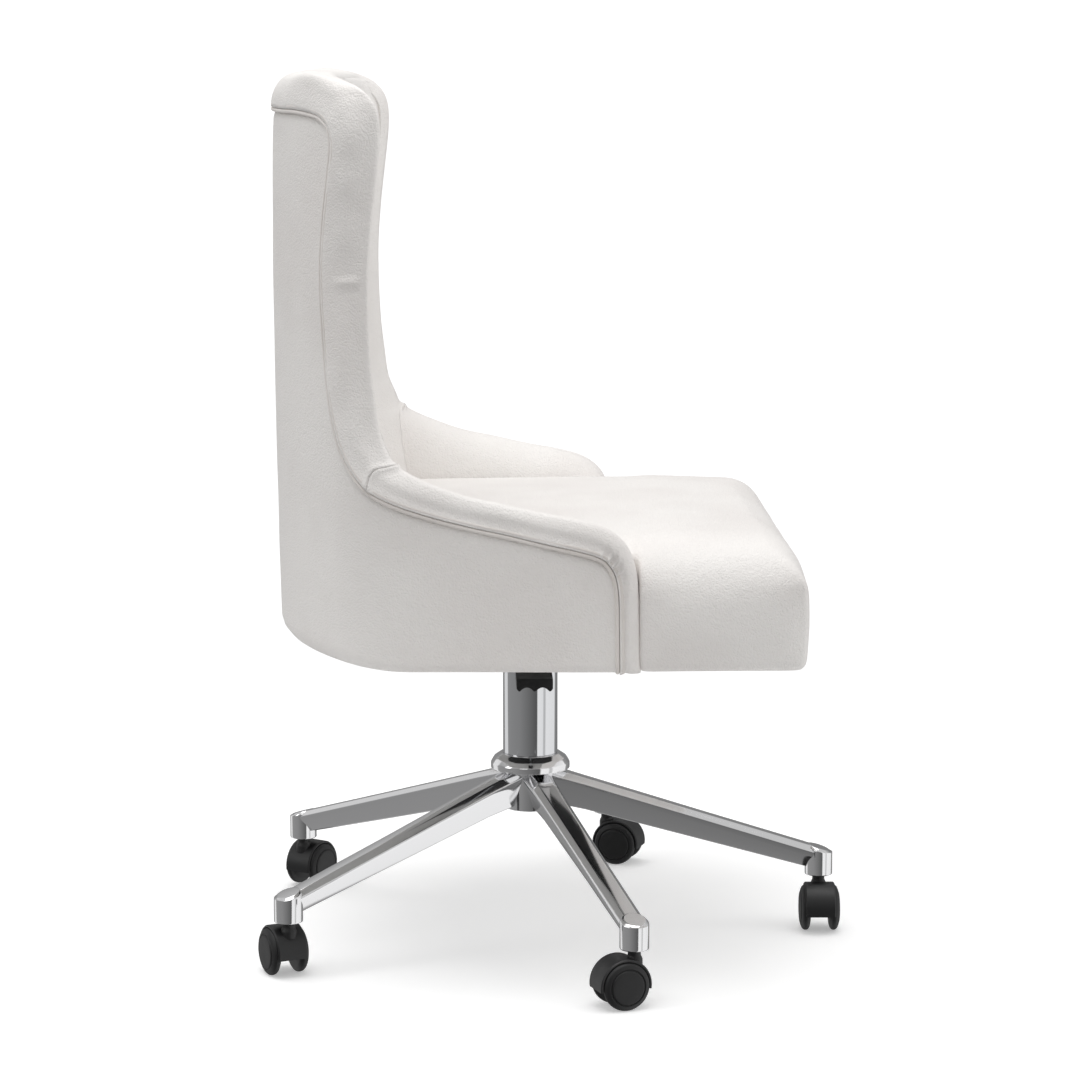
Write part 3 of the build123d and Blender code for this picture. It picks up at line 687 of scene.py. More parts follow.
# Stations across the top of the back, as (share of the bow from the middle, ridge, inner edge).
TOP_STATIONS: tuple[tuple[float, Spot, Spot], ...] = (
    (0.72, (-188.0, 230, 936), (-188.0, 206, 916)),
    (0.48, (-200.0, 160, 938.5), (-196.0, 148, 919)),
    (0.24, (-206.0, 80, 940.5), (-199.0, 75, 921)),
    (0.0, (-208.0, 0, 940.5), (-200.0, 0, 921)),
)
TOP_SEAM_Z = 906.5
ARM_JOIN_STATION = 11.9       # where the arm's band is sewn to the back's


class Rim:
    """Padded band from the welted seam over the ridge to the inner pads."""

    fold_r = 9.0       # rounding over the ridge
    lap = 12.0         # leather that laps onto the inner pad
    lap_sink = 5.0     # how far the lap's end dips under the pad

    def __init__(self, form: ShellForm) -> None:
        """Lay the seam, ridge and inner edge along one shared parameter.

        Args:
            form: the outer wall.
        """
        self.form = form
        seams = [Vector((form.run_to(x), z, 0)) for (x, z), _, _ in SIDE_STATIONS]
        ridges = [Vector(r) for _, r, _ in SIDE_STATIONS]
        inners = [Vector(i) for _, _, i in SIDE_STATIONS]
        for share, ridge, inner in TOP_STATIONS:
            seams.append(Vector((form.bow_len * share, TOP_SEAM_Z, 0)))
            ridges.append(Vector(ridge))
            inners.append(Vector(inner))
        params = [0.0]
        for low, high in zip(ridges, ridges[1:]):
            params.append(params[-1] + (high - low).length)
        self.station_params = params
        self.middle = params[-1]
        self.length = 2 * self.middle
        params = params + [self.length - p for p in reversed(params[:-1])]
        seams += [Vector((-s.x, s.y, 0)) for s in reversed(seams[:-1])]
        ridges += [Vector((r.x, -r.y, r.z)) for r in reversed(ridges[:-1])]
        inners += [Vector((i.x, -i.y, i.z)) for i in reversed(inners[:-1])]
        self.seam_line = KeyCurve(params, seams)
        self.ridge = KeyCurve(params, ridges)
        self.inner = KeyCurve(params, inners)

    def station(self, index: float) -> float:
        """Parameter of a station on the left side, counted from the arm's foot."""
        low = min(int(index), len(self.station_params) - 2)
        return mix(self.station_params[low], self.station_params[low + 1], index - low)

    def seam(self, u: float, lift: float = 0.0) -> Vector:
        """Point on the welted seam."""
        flat = self.seam_line.at(u)
        return self.form.wall(flat.x, flat.y, lift)

    def section(self, u: float, v: float) -> Vector:
        """Point of the band's section.

        Args:
            u: place along the rim.
            v: 0 at the seam to 1 at the end of the lap under the inner pad.

        Returns:
            The point.
        """
        seam, ridge, inner = self.seam(u), self.ridge.at(u), self.inner.at(u)
        along = (self.seam(u + 2) - self.seam(u - 2)).normalized()
        out = (self.seam(u, 1.0) - seam).normalized()
        up = out.cross(along).normalized()
        chord = ridge - seam
        span = chord.length
        if up.dot(chord) < 0:
            up = -up
        turn = max(0.0, 1 - chord.normalized().dot(up))
        back = (-chord.normalized() + out * 0.32 + up * 0.95 * turn).normalized()
        inward = (inner - ridge).normalized()
        tip = ridge + (chord.normalized() - inward).normalized() * 1.5
        start = tip + back * self.fold_r
        end = tip + inward * self.fold_r
        if v < 0.62:
            t = v / 0.62
            one = seam + up * span * (0.40 + 0.27 * turn)
            two = start + back * span * (0.36 + 0.14 * turn)
            return (seam * (1 - t) ** 3 + one * 3 * t * (1 - t) ** 2 + two * 3 * t * t * (1 - t)
                    + start * t ** 3)
        if v < 0.82:
            t = (v - 0.62) / 0.2
            return start * (1 - t) ** 2 + tip * 2 * t * (1 - t) + end * t * t
        t = (v - 0.82) / 0.18
        return end + inward * self.lap * t + (seam - ridge).normalized() * self.lap_sink * t

    def normal(self, u: float, v: float) -> Vector:
        """Outward direction of the band's face."""
        du = self.section(u + 1, v) - self.section(u - 1, v)
        dv = self.section(u, min(1, v + 0.01)) - self.section(u, max(0, v - 0.01))
        return dv.cross(du).normalized() if du.length and dv.length else Vector((0, 0, 1))


class Upholstery:
    """Shell of the chair: outer cover, bands, welts, inner pads and the frame behind them."""

    back_x = -200.0             # middle of the inner back's skin, before its padding swells
    join_bow = 7.0              # how far the join between wing and arm bands bows up the wing

    def __init__(self, finishes: Finishes) -> None:
        """Set up the shapes.

        Args:
            finishes: the chair's materials.
        """
        self.finishes = finishes
        self.form = ShellForm()
        self.rim = Rim(self.form)
        self.join = self.rim.station(ARM_JOIN_STATION)

    # -- outer cover ----------------------------------------------------------------------------
    def foot_run(self, u: float) -> float:
        """Where along the bottom edge the cover's thread from a seam point ends."""
        rim = self.rim
        side = 1 if u <= rim.middle else -1
        near = min(u, rim.length - u)
        elbow = rim.station(11)
        if near <= elbow:
            return rim.seam_line.at(u).x
        start = abs(rim.seam_line.at(elbow).x)
        share = (near - elbow) / (rim.middle - elbow)
        return side * start * (1 - share) ** 0.9

    def cover_point(self, u_share: float, v: float) -> Vector:
        """Point of the outer cover, v from the seam to the tucked edge under the chair."""
        rim, form = self.rim, self.form
        u = u_share * rim.length
        top = rim.seam_line.at(u)
        foot = self.foot_run(u)
        if v < 0.9:
            t = (v / 0.9) ** 0.9
            run = mix(top.x, foot, t)
            z = mix(top.y, form.low_z, t)
            depth = (top.y - form.low_z) * t
            lift = -3.0 * bump(depth, 6.5)
            sag = noise.noise(Vector((run * 0.012, z * 0.012, 3.0)))
            lift += 0.8 * sag * smooth(depth / 40)
            return form.wall(run, z, lift)
        t = (v - 0.9) / 0.1
        return form.wall(foot, form.low_z - form.tuck * t, 3.0 * t)

    def build_cover(self) -> None:
        """One cover over the back and both outer sides."""
        bm = grid_surface(260, 84, self.cover_point)
        obj = piece_from("outer_cover_leather", bm)
        self.face_out(obj)
        add_thickness(obj, 2.5)
        dress(obj, "seat", self.finishes.leather, ["outer_cover"])

    def face_out(self, obj: bpy.types.Object) -> None:
        """Turn an open skin so that its faces look away from the shell's inside."""
        centre = Vector((-60, 0, 420)) * MM
        turn_faces(obj, lambda bm: sum((f.calc_center_median() - centre).dot(f.normal) * f.calc_area()
                                       for f in bm.faces))

    # -- bands ----------------------------------------------------------------------------------
    def band_point(self, low: float, high: float, u_share: float, v: float) -> Vector:
        """Point of a band between two places along the rim, with its pulls and pleats."""
        rim = self.rim
        bow = self.join_bow * math.sin(math.pi * min(1.0, v / 0.7))
        if low > 1:
            low += bow if low < rim.middle else -bow
        if high < rim.length - 1:
            high += bow if high < rim.middle else -bow
        u = mix(low, high, u_share)
        spot = rim.section(u, v)
        normal = rim.normal(u, v)
        near = min(u, rim.length - u)
        drop = 2.8 * bump(v * 45, 5.5)
        for end in (low, high):
            if 1 < end < rim.length - 1:
                drop += 2.2 * bump(u - end, 3.2)
        pleat_from, pleat_to = rim.station(2.7), rim.station(5.4)
        if pleat_from < near < pleat_to:
            share = (near - pleat_from) / (pleat_to - pleat_from)
            fold = max(0.0, math.cos(share * 4.5 * 2 * math.pi + 0.6)) ** 4
            drop += 5.4 * fold * smooth(v / 0.05) * smooth((0.52 - v) / 0.35) * math.sin(math.pi * share)
        wing_from, wing_to = rim.station(13), rim.station(21)
        if wing_from < near < wing_to and v < 0.6:
            ripple = noise.noise(Vector((near * 0.035, v * 1.6, 1.0 if u < rim.middle else 7.0)))
            drop += 1.5 * ripple * math.sin(math.pi * v / 0.6)
            pull = rim.station(16.9) if u > rim.middle else rim.station(15.2)
            drop += 2.4 * bump(near - pull - 14 * v, 4.0) * smooth((v - 0.12) / 0.3)
        drop += 0.6 * noise.noise(Vector((near * 0.02, v * 2, 5.0)))
        return spot - normal * drop

    def build_bands(self) -> None:
        """The back's band and one on each arm."""
        rim = self.rim
        spans = {
            "left_arm_border": (0.0, self.join - 0.4, 150),
            "back_border": (self.join + 0.4, rim.length - self.join - 0.4, 420),
            "right_arm_border": (rim.length - self.join + 0.4, rim.length, 150),
        }
        for node, (low, high, cells) in spans.items():
            bm = grid_surface(cells, 40, lambda u, v, a=low, b=high: self.band_point(a, b, u, v))
            obj = piece_from(node + "_leather", bm)
            self.face_band_out(obj, low, high)
            add_thickness(obj, 2.0)
            dress(obj, "seat", self.finishes.leather, [node])

    def face_band_out(self, obj: bpy.types.Object, low: float, high: float) -> None:
        """Turn a band so that its faces look the way its section's normals do."""
        middle = (low + high) / 2
        spot = self.rim.section(middle, 0.3) * MM
        outward = self.rim.seam(middle, 1.0) - self.rim.seam(middle)
        turn_faces(obj, lambda bm: min(bm.faces, key=lambda f: (f.calc_center_median() - spot).length)
                   .normal.dot(outward))

    # -- welts ----------------------------------------------------------------------------------
    def welt_route(self, shift: float, lift: float) -> list[Vector]:
        """Route of one welt cord, shifted across the seam and lifted off the wall."""
        rim, form = self.rim, self.form
        count = 520
        route = []
        for i in range(count + 1):
            u = rim.length * i / count
            flat, ahead = rim.seam_line.at(u), rim.seam_line.at(u + 1.5)
            behind = rim.seam_line.at(u - 1.5)
            way = (ahead - behind).normalized()
            spot = flat + Vector((-way.y, way.x, 0)) * shift
            route.append(form.wall(spot.x, max(spot.y, form.low_z + 0.5), lift))
        return route

    def build_welts(self) -> None:
        """The double welt that closes the cover to the bands."""
        for node, shift in (("inner_welt", 2.6), ("outer_welt", -2.6)):
            obj = tube_along(node + "_cord", self.welt_route(shift, 0.7), 2.2)
            # the welt's darker finish is painted shade along the seam
            dress(obj, "seat", self.finishes.welt_leather_painted_shade, [node])

    # -- inner pads -----------------------------------------------------------------------------
    def build_inner_back(self) -> None:
        """Concave inner back between the wings."""
        rim = self.rim
        first, last = rim.station(12.4), rim.station(21.6)
        keys = [self.arm_pad_point(0.06, k / 4) for k in range(4)]
        keys += [rim.section(mix(first, last, k / 10), 0.81) for k in range(11)]
        params = [0.0]
        for low, high in zip(keys, keys[1:]):
            params.append(params[-1] + (high - low).length)
        side = KeyCurve(params, keys)
        height = params[-1]

        def bowed(w: float, v: float) -> Vector:
            """Bow between the two sides at one height."""
            edge = side.at(v * height)
            return Vector((mix(self.back_x, edge.x, abs(w) ** 3.0), edge.y * w, edge.z))

        def point(a: float, v: float) -> Vector:
            """Bowed face that meets the rim's top edge, with a soft crown."""
            w = 1 - 2 * a
            spot = bowed(w, v)
            spot += (rim.section(mix(last, rim.length - last, a), 0.81) - bowed(w, 1)) * v ** 5
            near = min((1 - abs(w)) * 245, (1 - v) * 480)
            spot.x += 2.2 * smooth(near / 8) + 2.6 * smooth(near / 60)
            spot.x += 7.0 * (1 - w * w) * bump(v - 0.22, 0.25)
            return spot

        obj = piece_from("inner_back_leather", grid_surface(150, 170, point))
        face_to(obj, Vector((1, 0, 0)))
        add_thickness(obj, 4.0)
        dress(obj, "seat", self.finishes.leather, ["inner_back_pad"])

    def frame_point(self, a: float, v: float) -> Vector:
        """Point of the plywood frame's outer face, behind the cover's padding."""
        rim = self.rim
        u = mix(2, rim.length - 2, a)
        top = rim.seam_line.at(u)
        run = mix(top.x, self.foot_run(u), v)
        low = self.form.low_z + 1
        return self.form.wall(run, max(low, mix(top.y - 8, low, v)), -7.5)

    def plan_point(self, inset: float, z: float, a: float, v: float) -> Vector:
        """Point of a level sheet under the seat, inset from the shell's outline."""
        form = self.form
        front = form.run_to(99.0)
        spot, normal = form.outline(mix(-front, front, a))
        rear = smooth(-normal.x * 1.15)
        edge = spot - normal * (inset + mix(form.side_edge_r, form.rear_edge_r, rear))
        spine = Vector((max(-150.0, min(99.0, edge.x)), 0, 0))
        point = spine.lerp(edge, v)
        point.z = z
        return point

    def build_hidden_wood(self) -> None:
        """Frame inside the cover and the board that the seat is screwed to."""
        frame = piece_from("shell_frame_panel", grid_surface(120, 24, self.frame_point))
        self.face_out(frame)
        add_thickness(frame, 8.0)
        dress(frame, "seat", self.finishes.ply, ["shell_frame"])
        bm = grid_surface(120, 12, lambda a, v: self.plan_point(4.0, self.form.low_z + 13, a, v))
        made = bmesh.ops.create_grid(bm, x_segments=12, y_segments=24, size=0.5)["verts"]
        for vert in made:
            vert.co = Vector((178 + vert.co.x * 154, vert.co.y * 540, self.form.low_z + 13))
        board = piece_from("seat_board_panel", bm)
        face_to(board, Vector((0, 0, 1)))
        add_thickness(board, 11.0)
        dress(board, "seat", self.finishes.ply, ["seat_board"])

    def build_lining(self) -> None:
        """Lining stapled over the tucked leather under the shell and the nose."""
        low = self.form.low_z
        bm = grid_surface(160, 10, lambda a, v: self.plan_point(3.0, low + 0.1, a, v))
        made = bmesh.ops.create_grid(bm, x_segments=20, y_segments=60, size=0.5)["verts"]
        for vert in made:
            vert.co = Vector((176 + vert.co.x * 158, vert.co.y * 548, low + 0.1))
        obj = piece_from("seat_lining_sheet", bm)
        face_to(obj, Vector((0, 0, -1)))
        add_thickness(obj, 0.8)
        dress(obj, "seat", self.finishes.lining, ["dust_cover"])

    def arm_pad_point(self, a: float, v: float) -> Vector:
        """Point of the left arm's inner face: a runs forwards, v from beside the seat up to the ridge."""
        rim = self.rim
        u = mix(rim.station(13.2), rim.station(2.2), a)
        top = rim.section(u, 0.81)
        fore = smooth((a - 0.75) / 0.25)
        low = Vector((mix(-142, 101, a), 243.5, 434))
        bend = rim.ridge.at(u).lerp(rim.inner.at(u), mix(1.35, 1.2, fore))
        t = 1 - v
        spot = top * v * v + bend * 2 * v * t + low * t * t
        spot.y -= 0.8 * smooth(t * 6)
        return spot

    def build_arm_pad(self, side: Side) -> None:
        """Inner face of one arm, from under the ridge down beside the seat.

        Args:
            side: which arm.
        """

        def point(a: float, v: float) -> Vector:
            """The left pad's point, or its mirror image."""
            spot = self.arm_pad_point(a, v)
            spot.y *= side.value
            return spot

        node = "left_arm_pad" if side is Side.LEFT else "right_arm_pad"
        obj = piece_from(node + "_leather", grid_surface(110, 36, point))
        face_to(obj, Vector((0, -side.value, 0.4)))
        add_thickness(obj, 4.0)
        dress(obj, "seat", self.finishes.leather, [node])

    def build(self) -> None:
        """Build and dress the shell."""
        self.build_cover()
        self.build_bands()
        self.build_welts()
        self.build_inner_back()
        for side in Side:
            self.build_arm_pad(side)
        self.build_hidden_wood()
        self.build_lining()


@dataclass
class SeatCushion:
    """One thick cushion: it fills the space between the arms and stands full width in front of them."""

    finishes: Finishes
    front_x: float = 275.0
    join_x: float = 102.8           # rear face of the nose, in front of the arms
    rear_x: float = -192.0
    half_y: float = 297.0
    inner_half_y: float = 242.0
    shoulder_half_y: float = 266.0   # foam that fills the corner behind the nose
    low_z: float = 343.5
    base_z: float = 358.5
    side_z: float = 468.5
    top_edge_r: float = 42.0
    corner_r: float = 9.0
    low_edge_r: float = 8.0
    crown: float = 11.0
    voxel: float = 4.0
    pressure: float = 2.0
    swell_cap: float = 3.0
    relax_steps: int = 6

    def block(self, bm: bmesh.types.BMesh, low: Spot, high: Spot) -> None:
        """Add a box between two corners."""
        size = [end - start for start, end in zip(low, high)]
        made = bmesh.ops.create_cube(bm, size=1.0)["verts"]
        bmesh.ops.scale(bm, vec=size, verts=made)
        bmesh.ops.translate(bm, vec=[(start + end) / 2 for start, end in zip(low, high)], verts=made)

    def round_edges(self, bm: bmesh.types.BMesh, edges: list[bmesh.types.BMEdge], radius: float,
                    segments: int) -> None:
        """Bevel edges to a round of a radius."""
        bmesh.ops.bevel(bm, geom=edges, offset=radius, segments=segments, profile=0.5, affect="EDGES",
                        material=-1, clamp_overlap=True)

    def starting_form(self) -> bmesh.types.BMesh:
        """Two boxes with their edges rounded, before they are joined."""
        bm = bmesh.new()
        self.block(bm, (self.join_x, -self.half_y, self.low_z), (self.front_x, self.half_y, self.side_z))
        top = [e for e in bm.edges if all(v.co.z > self.side_z - 0.1 for v in e.verts)
               and not all(v.co.x < self.join_x + 0.1 for v in e.verts)]
        self.round_edges(bm, top, self.top_edge_r, 7)
        upright = [e for e in bm.edges if abs(e.verts[0].co.z - e.verts[1].co.z) > 40
                   and all(v.co.x > self.front_x - 1 for v in e.verts)]
        self.round_edges(bm, upright, self.corner_r, 4)
        low = [e for e in bm.edges if all(v.co.z < self.low_z + 0.1 for v in e.verts)
               and not all(v.co.x < self.join_x + 0.1 for v in e.verts)]
        self.round_edges(bm, low, self.low_edge_r, 3)
        self.block(bm, (self.rear_x, -self.inner_half_y, self.base_z),
                   (self.join_x + 30, self.inner_half_y, self.side_z))
        self.block(bm, (64, -self.shoulder_half_y, self.base_z + 30),
                   (self.join_x + 30, self.shoulder_half_y, self.side_z - 5))
        return bm

    def shape(self, obj: bpy.types.Object) -> None:
        """Crown the top, bow the front and dip the seams of the remeshed cushion."""
        for vert in obj.data.vertices:
            spot = vert.co / MM
            across = min(1.0, abs(spot.y) / self.half_y)
            along = (spot.x - self.rear_x) / (self.front_x - self.rear_x)
            high = smooth((spot.z - 396) / 70)
            lift = self.crown * (1 - across ** 2.4) * (0.55 + 0.45 * math.sin(math.pi * min(1, along * 1.05)))
            lift -= 9.0 * smooth((across - 0.72) / 0.28) * smooth((spot.x - 60) / 60)
            lift += 4.0 * bump(spot.x - 105, 85) * (1 - across ** 2)
            spot.z += lift * high
            if spot.x > self.front_x - 30:
                tall = (spot.z - self.low_z) / (self.side_z - self.low_z)
                spot.x += 1.5 * math.sin(math.pi * min(1, max(0, tall))) * (1 - across ** 2)
            seam = (spot.x - self.front_x + 8) if abs(spot.y) > self.half_y - 9 else 99.0
            if abs(seam) < 26 and self.low_z + 8 < spot.z < 448:
                fade = smooth((spot.z - self.low_z - 8) / 15) * smooth((448 - spot.z) / 25)
                pucker = 1.5 * math.sin(spot.z * 0.46 + 1.4 * math.sin(spot.z * 0.11)) * bump(seam + 6, 8.0)
                spot.y -= math.copysign(3.0 * bump(seam, 3.4) + pucker, spot.y) * fade
            vert.co = spot * MM

    def simulate(self, obj: bpy.types.Object) -> None:
        """Blow the cushion up a little under its skin, and cap how far it swells."""
        rest = [v.co.copy() for v in obj.data.vertices]
        cloth = obj.modifiers.new("cloth", "CLOTH")
        cloth.settings.use_pressure = True
        cloth.settings.uniform_pressure_force = self.pressure
        cloth.settings.effector_weights.gravity = 0
        cloth.settings.quality = 4
        cloth.settings.tension_stiffness = cloth.settings.compression_stiffness = 20
        cloth.settings.bending_stiffness = 2.0
        scene = bpy.context.scene
        for frame_number in range(1, 21):
            scene.frame_set(frame_number)
        moved = obj.evaluated_get(bpy.context.evaluated_depsgraph_get()).to_mesh()
        for vert, start, end in zip(obj.data.vertices, rest, [v.co.copy() for v in moved.vertices]):
            step = (end - start) / MM
            ahead, above = start.x / MM - self.join_x - 4, start.z / MM - self.low_z - 6
            room = smooth(ahead / 40) * smooth(above / 40)
            swell = self.swell_cap * math.tanh(step.length / self.swell_cap) * mix(0.1, 1.0, room)
            vert.co = start + step.normalized() * swell * MM
        obj.modifiers.remove(cloth)
        scene.frame_set(1)
        edit_mesh(obj, self.relax)

    def relax(self, bm: bmesh.types.BMesh) -> None:
        """Even out the small folds that the pressure leaves."""
        for _ in range(self.relax_steps):
            bmesh.ops.smooth_vert(bm, verts=bm.verts, factor=0.5, use_axis_x=True, use_axis_y=True,
                                  use_axis_z=True)

    def build(self) -> None:
        """Build, remesh, simulate and dress the cushion."""
        obj = piece_from("seat_cushion_leather", self.starting_form())
        remesh = obj.modifiers.new("join", "REMESH")
        remesh.mode = "VOXEL"
        remesh.voxel_size = self.voxel * MM
        relax = obj.modifiers.new("relax", "SMOOTH")
        relax.factor = 0.5
        relax.iterations = 4
        bpy.context.view_layer.update()
        done = obj.evaluated_get(bpy.context.evaluated_depsgraph_get())
        mesh = bpy.data.meshes.new_from_object(done)
        obj.modifiers.clear()
        obj.data = mesh
        mesh.polygons.foreach_set("use_smooth", [True] * len(mesh.polygons))
        self.shape(obj)
        self.simulate(obj)
        fine = obj.modifiers.new("fine", "SUBSURF")
        fine.levels = fine.render_levels = 1
        dress(obj, "seat", self.finishes.leather, ["seat_cushion"])


# ---- five-arm base ----------------------------------------------------------------------------
@dataclass
class StarBase:
    """Cast base: a flanged hub and five faceted arms that end in round bosses."""

    finishes: Finishes
    arms: int = 5
    reach: float = 320.0
    flange_r: float = 43.5
    flange_low: float = 182.5
    flange_high: float = 190.0
    top_z: float = 200.0
    sleeve_r: float = 30.0
    low_z: float = 138.0
    low_r: float = 28.5
    bore_r: float = 23.6
    boss_r: float = 15.25
    boss_low: float = 59.5
    edge: float = 1.3

    def hub(self) -> bmesh.types.BMesh:
        """Spun hub with a flange and a bevelled top."""
        outline = [
            (self.bore_r, self.low_z + 3), (self.bore_r, self.low_z), (self.low_r, self.low_z),
            (self.low_r, self.flange_low), (self.flange_r, self.flange_low),
            (self.flange_r, self.flange_high - 1), (self.flange_r - 3.5, self.flange_high + 5),
            (self.sleeve_r + 2.5, self.top_z),
            (self.bore_r + 1.5, self.top_z), (self.bore_r + 1.5, self.top_z - 3),
        ]
        return spun_profile(rounded_profile(outline, self.edge, 3), 96)

    def arm(self) -> bmesh.types.BMesh:
        """One arm along +X: section loops bridged from the hub to the boss."""
        bm = bmesh.new()
        loops = []
        stations = ((20, 184, 40, 9.5, 17.0, 7.0, 6.5), (60, 171.6, 36.5, 8.6, 15.4, 6.4, 5.0),
                    (190, 130.8, 31, 7.6, 14.2, 6.0, 4.2), (317, 91.2, 25.5, 7.6, 14.2, 6.0, 5.0))
        for x, top, depth, flat, half, shoulder, keel in stations:
            ring = [(flat, top), (half, top - shoulder), (half - 1.2, top - shoulder - 5),
                    (keel, top - depth)]
            ring += [(-y, z) for y, z in reversed(ring)]
            verts = [bm.verts.new((x, y, z)) for y, z in ring]
            loops.append([bm.edges.new((a, b)) for a, b in zip(verts, verts[1:] + verts[:1])])
        for first, second in zip(loops, loops[1:]):
            bmesh.ops.bridge_loops(bm, edges=first + second)
        bmesh.ops.holes_fill(bm, edges=loops[0] + loops[-1], sides=0)
        bmesh.ops.recalc_face_normals(bm, faces=bm.faces[:])
        long_edges = [e for e in bm.edges if abs(e.verts[0].co.x - e.verts[1].co.x) > 1]
        bmesh.ops.bevel(bm, geom=long_edges, offset=self.edge, segments=3, profile=0.5, affect="EDGES",
                        material=-1)
        return bm

    def boss(self) -> bmesh.types.BMesh:
        """Round boss with a domed top and a soft lower edge."""
        r, low = self.boss_r, self.boss_low
        outline = [(7.1, low + 2.5), (7.1, low), (r, low), (r, 87.6), (r - 3.2, 90.6), (0.0, 90.6)]
        bm = spun_profile(rounded_profile(outline, 1.4, 3), 64)
        bmesh.ops.translate(bm, vec=(self.reach, 0, 0), verts=bm.verts[:])
        for vert in bm.verts:
            if vert.co.z > 84:
                vert.co.z -= 0.31 * (vert.co.x - self.reach) * smooth((vert.co.z - 84) / 6)
        return bm

    def build(self) -> None:
        """Build and dress the base."""
        whole = self.hub()
        for k in range(self.arms):
            for part in (self.arm(), self.boss()):
                bmesh.ops.rotate(part, cent=(0, 0, 0), verts=part.verts[:],
                                 matrix=Matrix.Rotation(2 * math.pi * k / self.arms, 3, "Z"))
                join_into(whole, part)
        obj = piece_from("star_base", whole)
        sharpen(obj, 38)
        dress(obj, "base", self.finishes.aluminium, ["base_star"])


# ---- casters ----------------------------------------------------------------------------------
@dataclass
class Caster:
    """Twin-wheel caster with a hood over the wheels' inner halves."""

    finishes: Finishes
    reach: float = 320.0
    trail: float = 15.0
    wheel_r: float = 25.0
    inner_y: float = 10.7
    outer_y: float = 22.0
    hood_half: float = 16.5
    hood_r: float = 28.2
    hood_wall: float = 2.3
    web_half: float = 10.3
    collar_r: float = 6.75
    collar_top: float = 58.9
    places: tuple[tuple[str, float, float], ...] = (
        ("front", 0, -91), ("front_left", 72, -20), ("rear_left", 144, 55), ("rear_right", 216, 115),
        ("front_right", 288, 200))

    def wheel(self, side: int) -> bmesh.types.BMesh:
        """Domed wheel with a rounded tread, a ring groove and a raised cap."""
        r, width = self.wheel_r, self.outer_y - self.inner_y
        outline = [
            (3.05, 0), (r - 5, 0), (r - 3.2, 0.6), (r - 0.6, 2.2), (r, 4.2), (r - 0.2, 6.6),
            (r - 1.9, 8.6), (r - 4.6, 9.8), (19.4, 10.2), (18.9, 9.3), (18.2, 9.3), (17.6, 10.6),
            (16.5, width - 0.25), (10, width), (0.0, width),
        ]
        bm = spun_profile(rounded_profile(outline, 0.6, 2), 72)
        turn = Matrix.Rotation(math.radians(-90 * side), 3, "X")
        bmesh.ops.rotate(bm, cent=(0, 0, 0), matrix=turn, verts=bm.verts[:])
        bmesh.ops.translate(bm, vec=(self.trail, side * self.inner_y, self.wheel_r), verts=bm.verts[:])
        return bm

    def hood(self) -> bmesh.types.BMesh:
        """Hood shell over the top, a middle web and the stem's collar."""
        bm = bmesh.new()
        low, high = math.radians(-9), math.radians(189)
        inner = self.hood_r - self.hood_wall
        steps = 44
        ring = [(self.hood_half, inner), (self.hood_half, self.hood_r - 1.0),
                (self.hood_half - 1.2, self.hood_r), (-self.hood_half + 1.2, self.hood_r),
                (-self.hood_half, self.hood_r - 1.0), (-self.hood_half, inner)]
        verts = [bm.verts.new((r * math.cos(low), y, r * math.sin(low))) for y, r in ring]
        face = bm.faces.new(verts)
        bmesh.ops.spin(bm, geom=[face] + verts + face.edges[:], axis=(0, -1, 0), cent=(0, 0, 0),
                       dvec=(0, 0, 0), angle=high - low, steps=steps, use_merge=False,
                       use_normal_flip=False, use_duplicate=False)
        web = bmesh.ops.create_cone(bm, cap_ends=True, segments=72, radius1=inner + 0.5,
                                    radius2=inner + 0.5, depth=2 * self.web_half)["verts"]
        bmesh.ops.rotate(bm, cent=(0, 0, 0), matrix=Matrix.Rotation(math.pi / 2, 3, "X"), verts=web)
        for vert in web:
            if vert.co.z < -3:
                vert.co.x *= 0.44
                vert.co.z = max(-11.0, vert.co.z * 0.44)
        bmesh.ops.translate(bm, vec=(self.trail, 0, self.wheel_r), verts=bm.verts[:])
        collar = spun_profile(rounded_profile(
            [(8.6, 42), (8.6, 49.5), (self.collar_r, 53.5), (self.collar_r, self.collar_top),
             (5.4, self.collar_top), (5.4, 44)], 0.8, 2), 48)
        join_into(bm, collar)
        return bm

    def place(self, bm: bmesh.types.BMesh, arm: float, heading: float) -> bmesh.types.BMesh:
        """Turn a piece about its stem and carry it out to its arm's end."""
        bmesh.ops.rotate(bm, cent=(0, 0, 0), matrix=Matrix.Rotation(math.radians(heading), 3, "Z"),
                         verts=bm.verts[:])
        spot = Vector((math.cos(math.radians(arm)), math.sin(math.radians(arm)), 0)) * self.reach
        bmesh.ops.translate(bm, vec=spot, verts=bm.verts[:])
        return bm

    def build(self) -> None:
        """Build and dress every caster."""
        for name, arm, heading in self.places:
            hood = piece_from(f"{name}_caster_cover", self.place(self.hood(), arm, heading))
            sharpen(hood, 35)
            dress(hood, f"{name}_caster", self.finishes.nylon, [f"{name}_caster_hood"])
            for letter, side in (("a", 1), ("b", -1)):
                wheel = piece_from(f"{name}_wheel_{letter}_disc", self.place(self.wheel(side), arm, heading))
                sharpen(wheel, 50)
                dress(wheel, f"{name}_wheel_{letter}", self.finishes.tread,
                      [f"{name}_wheel_{letter}"])


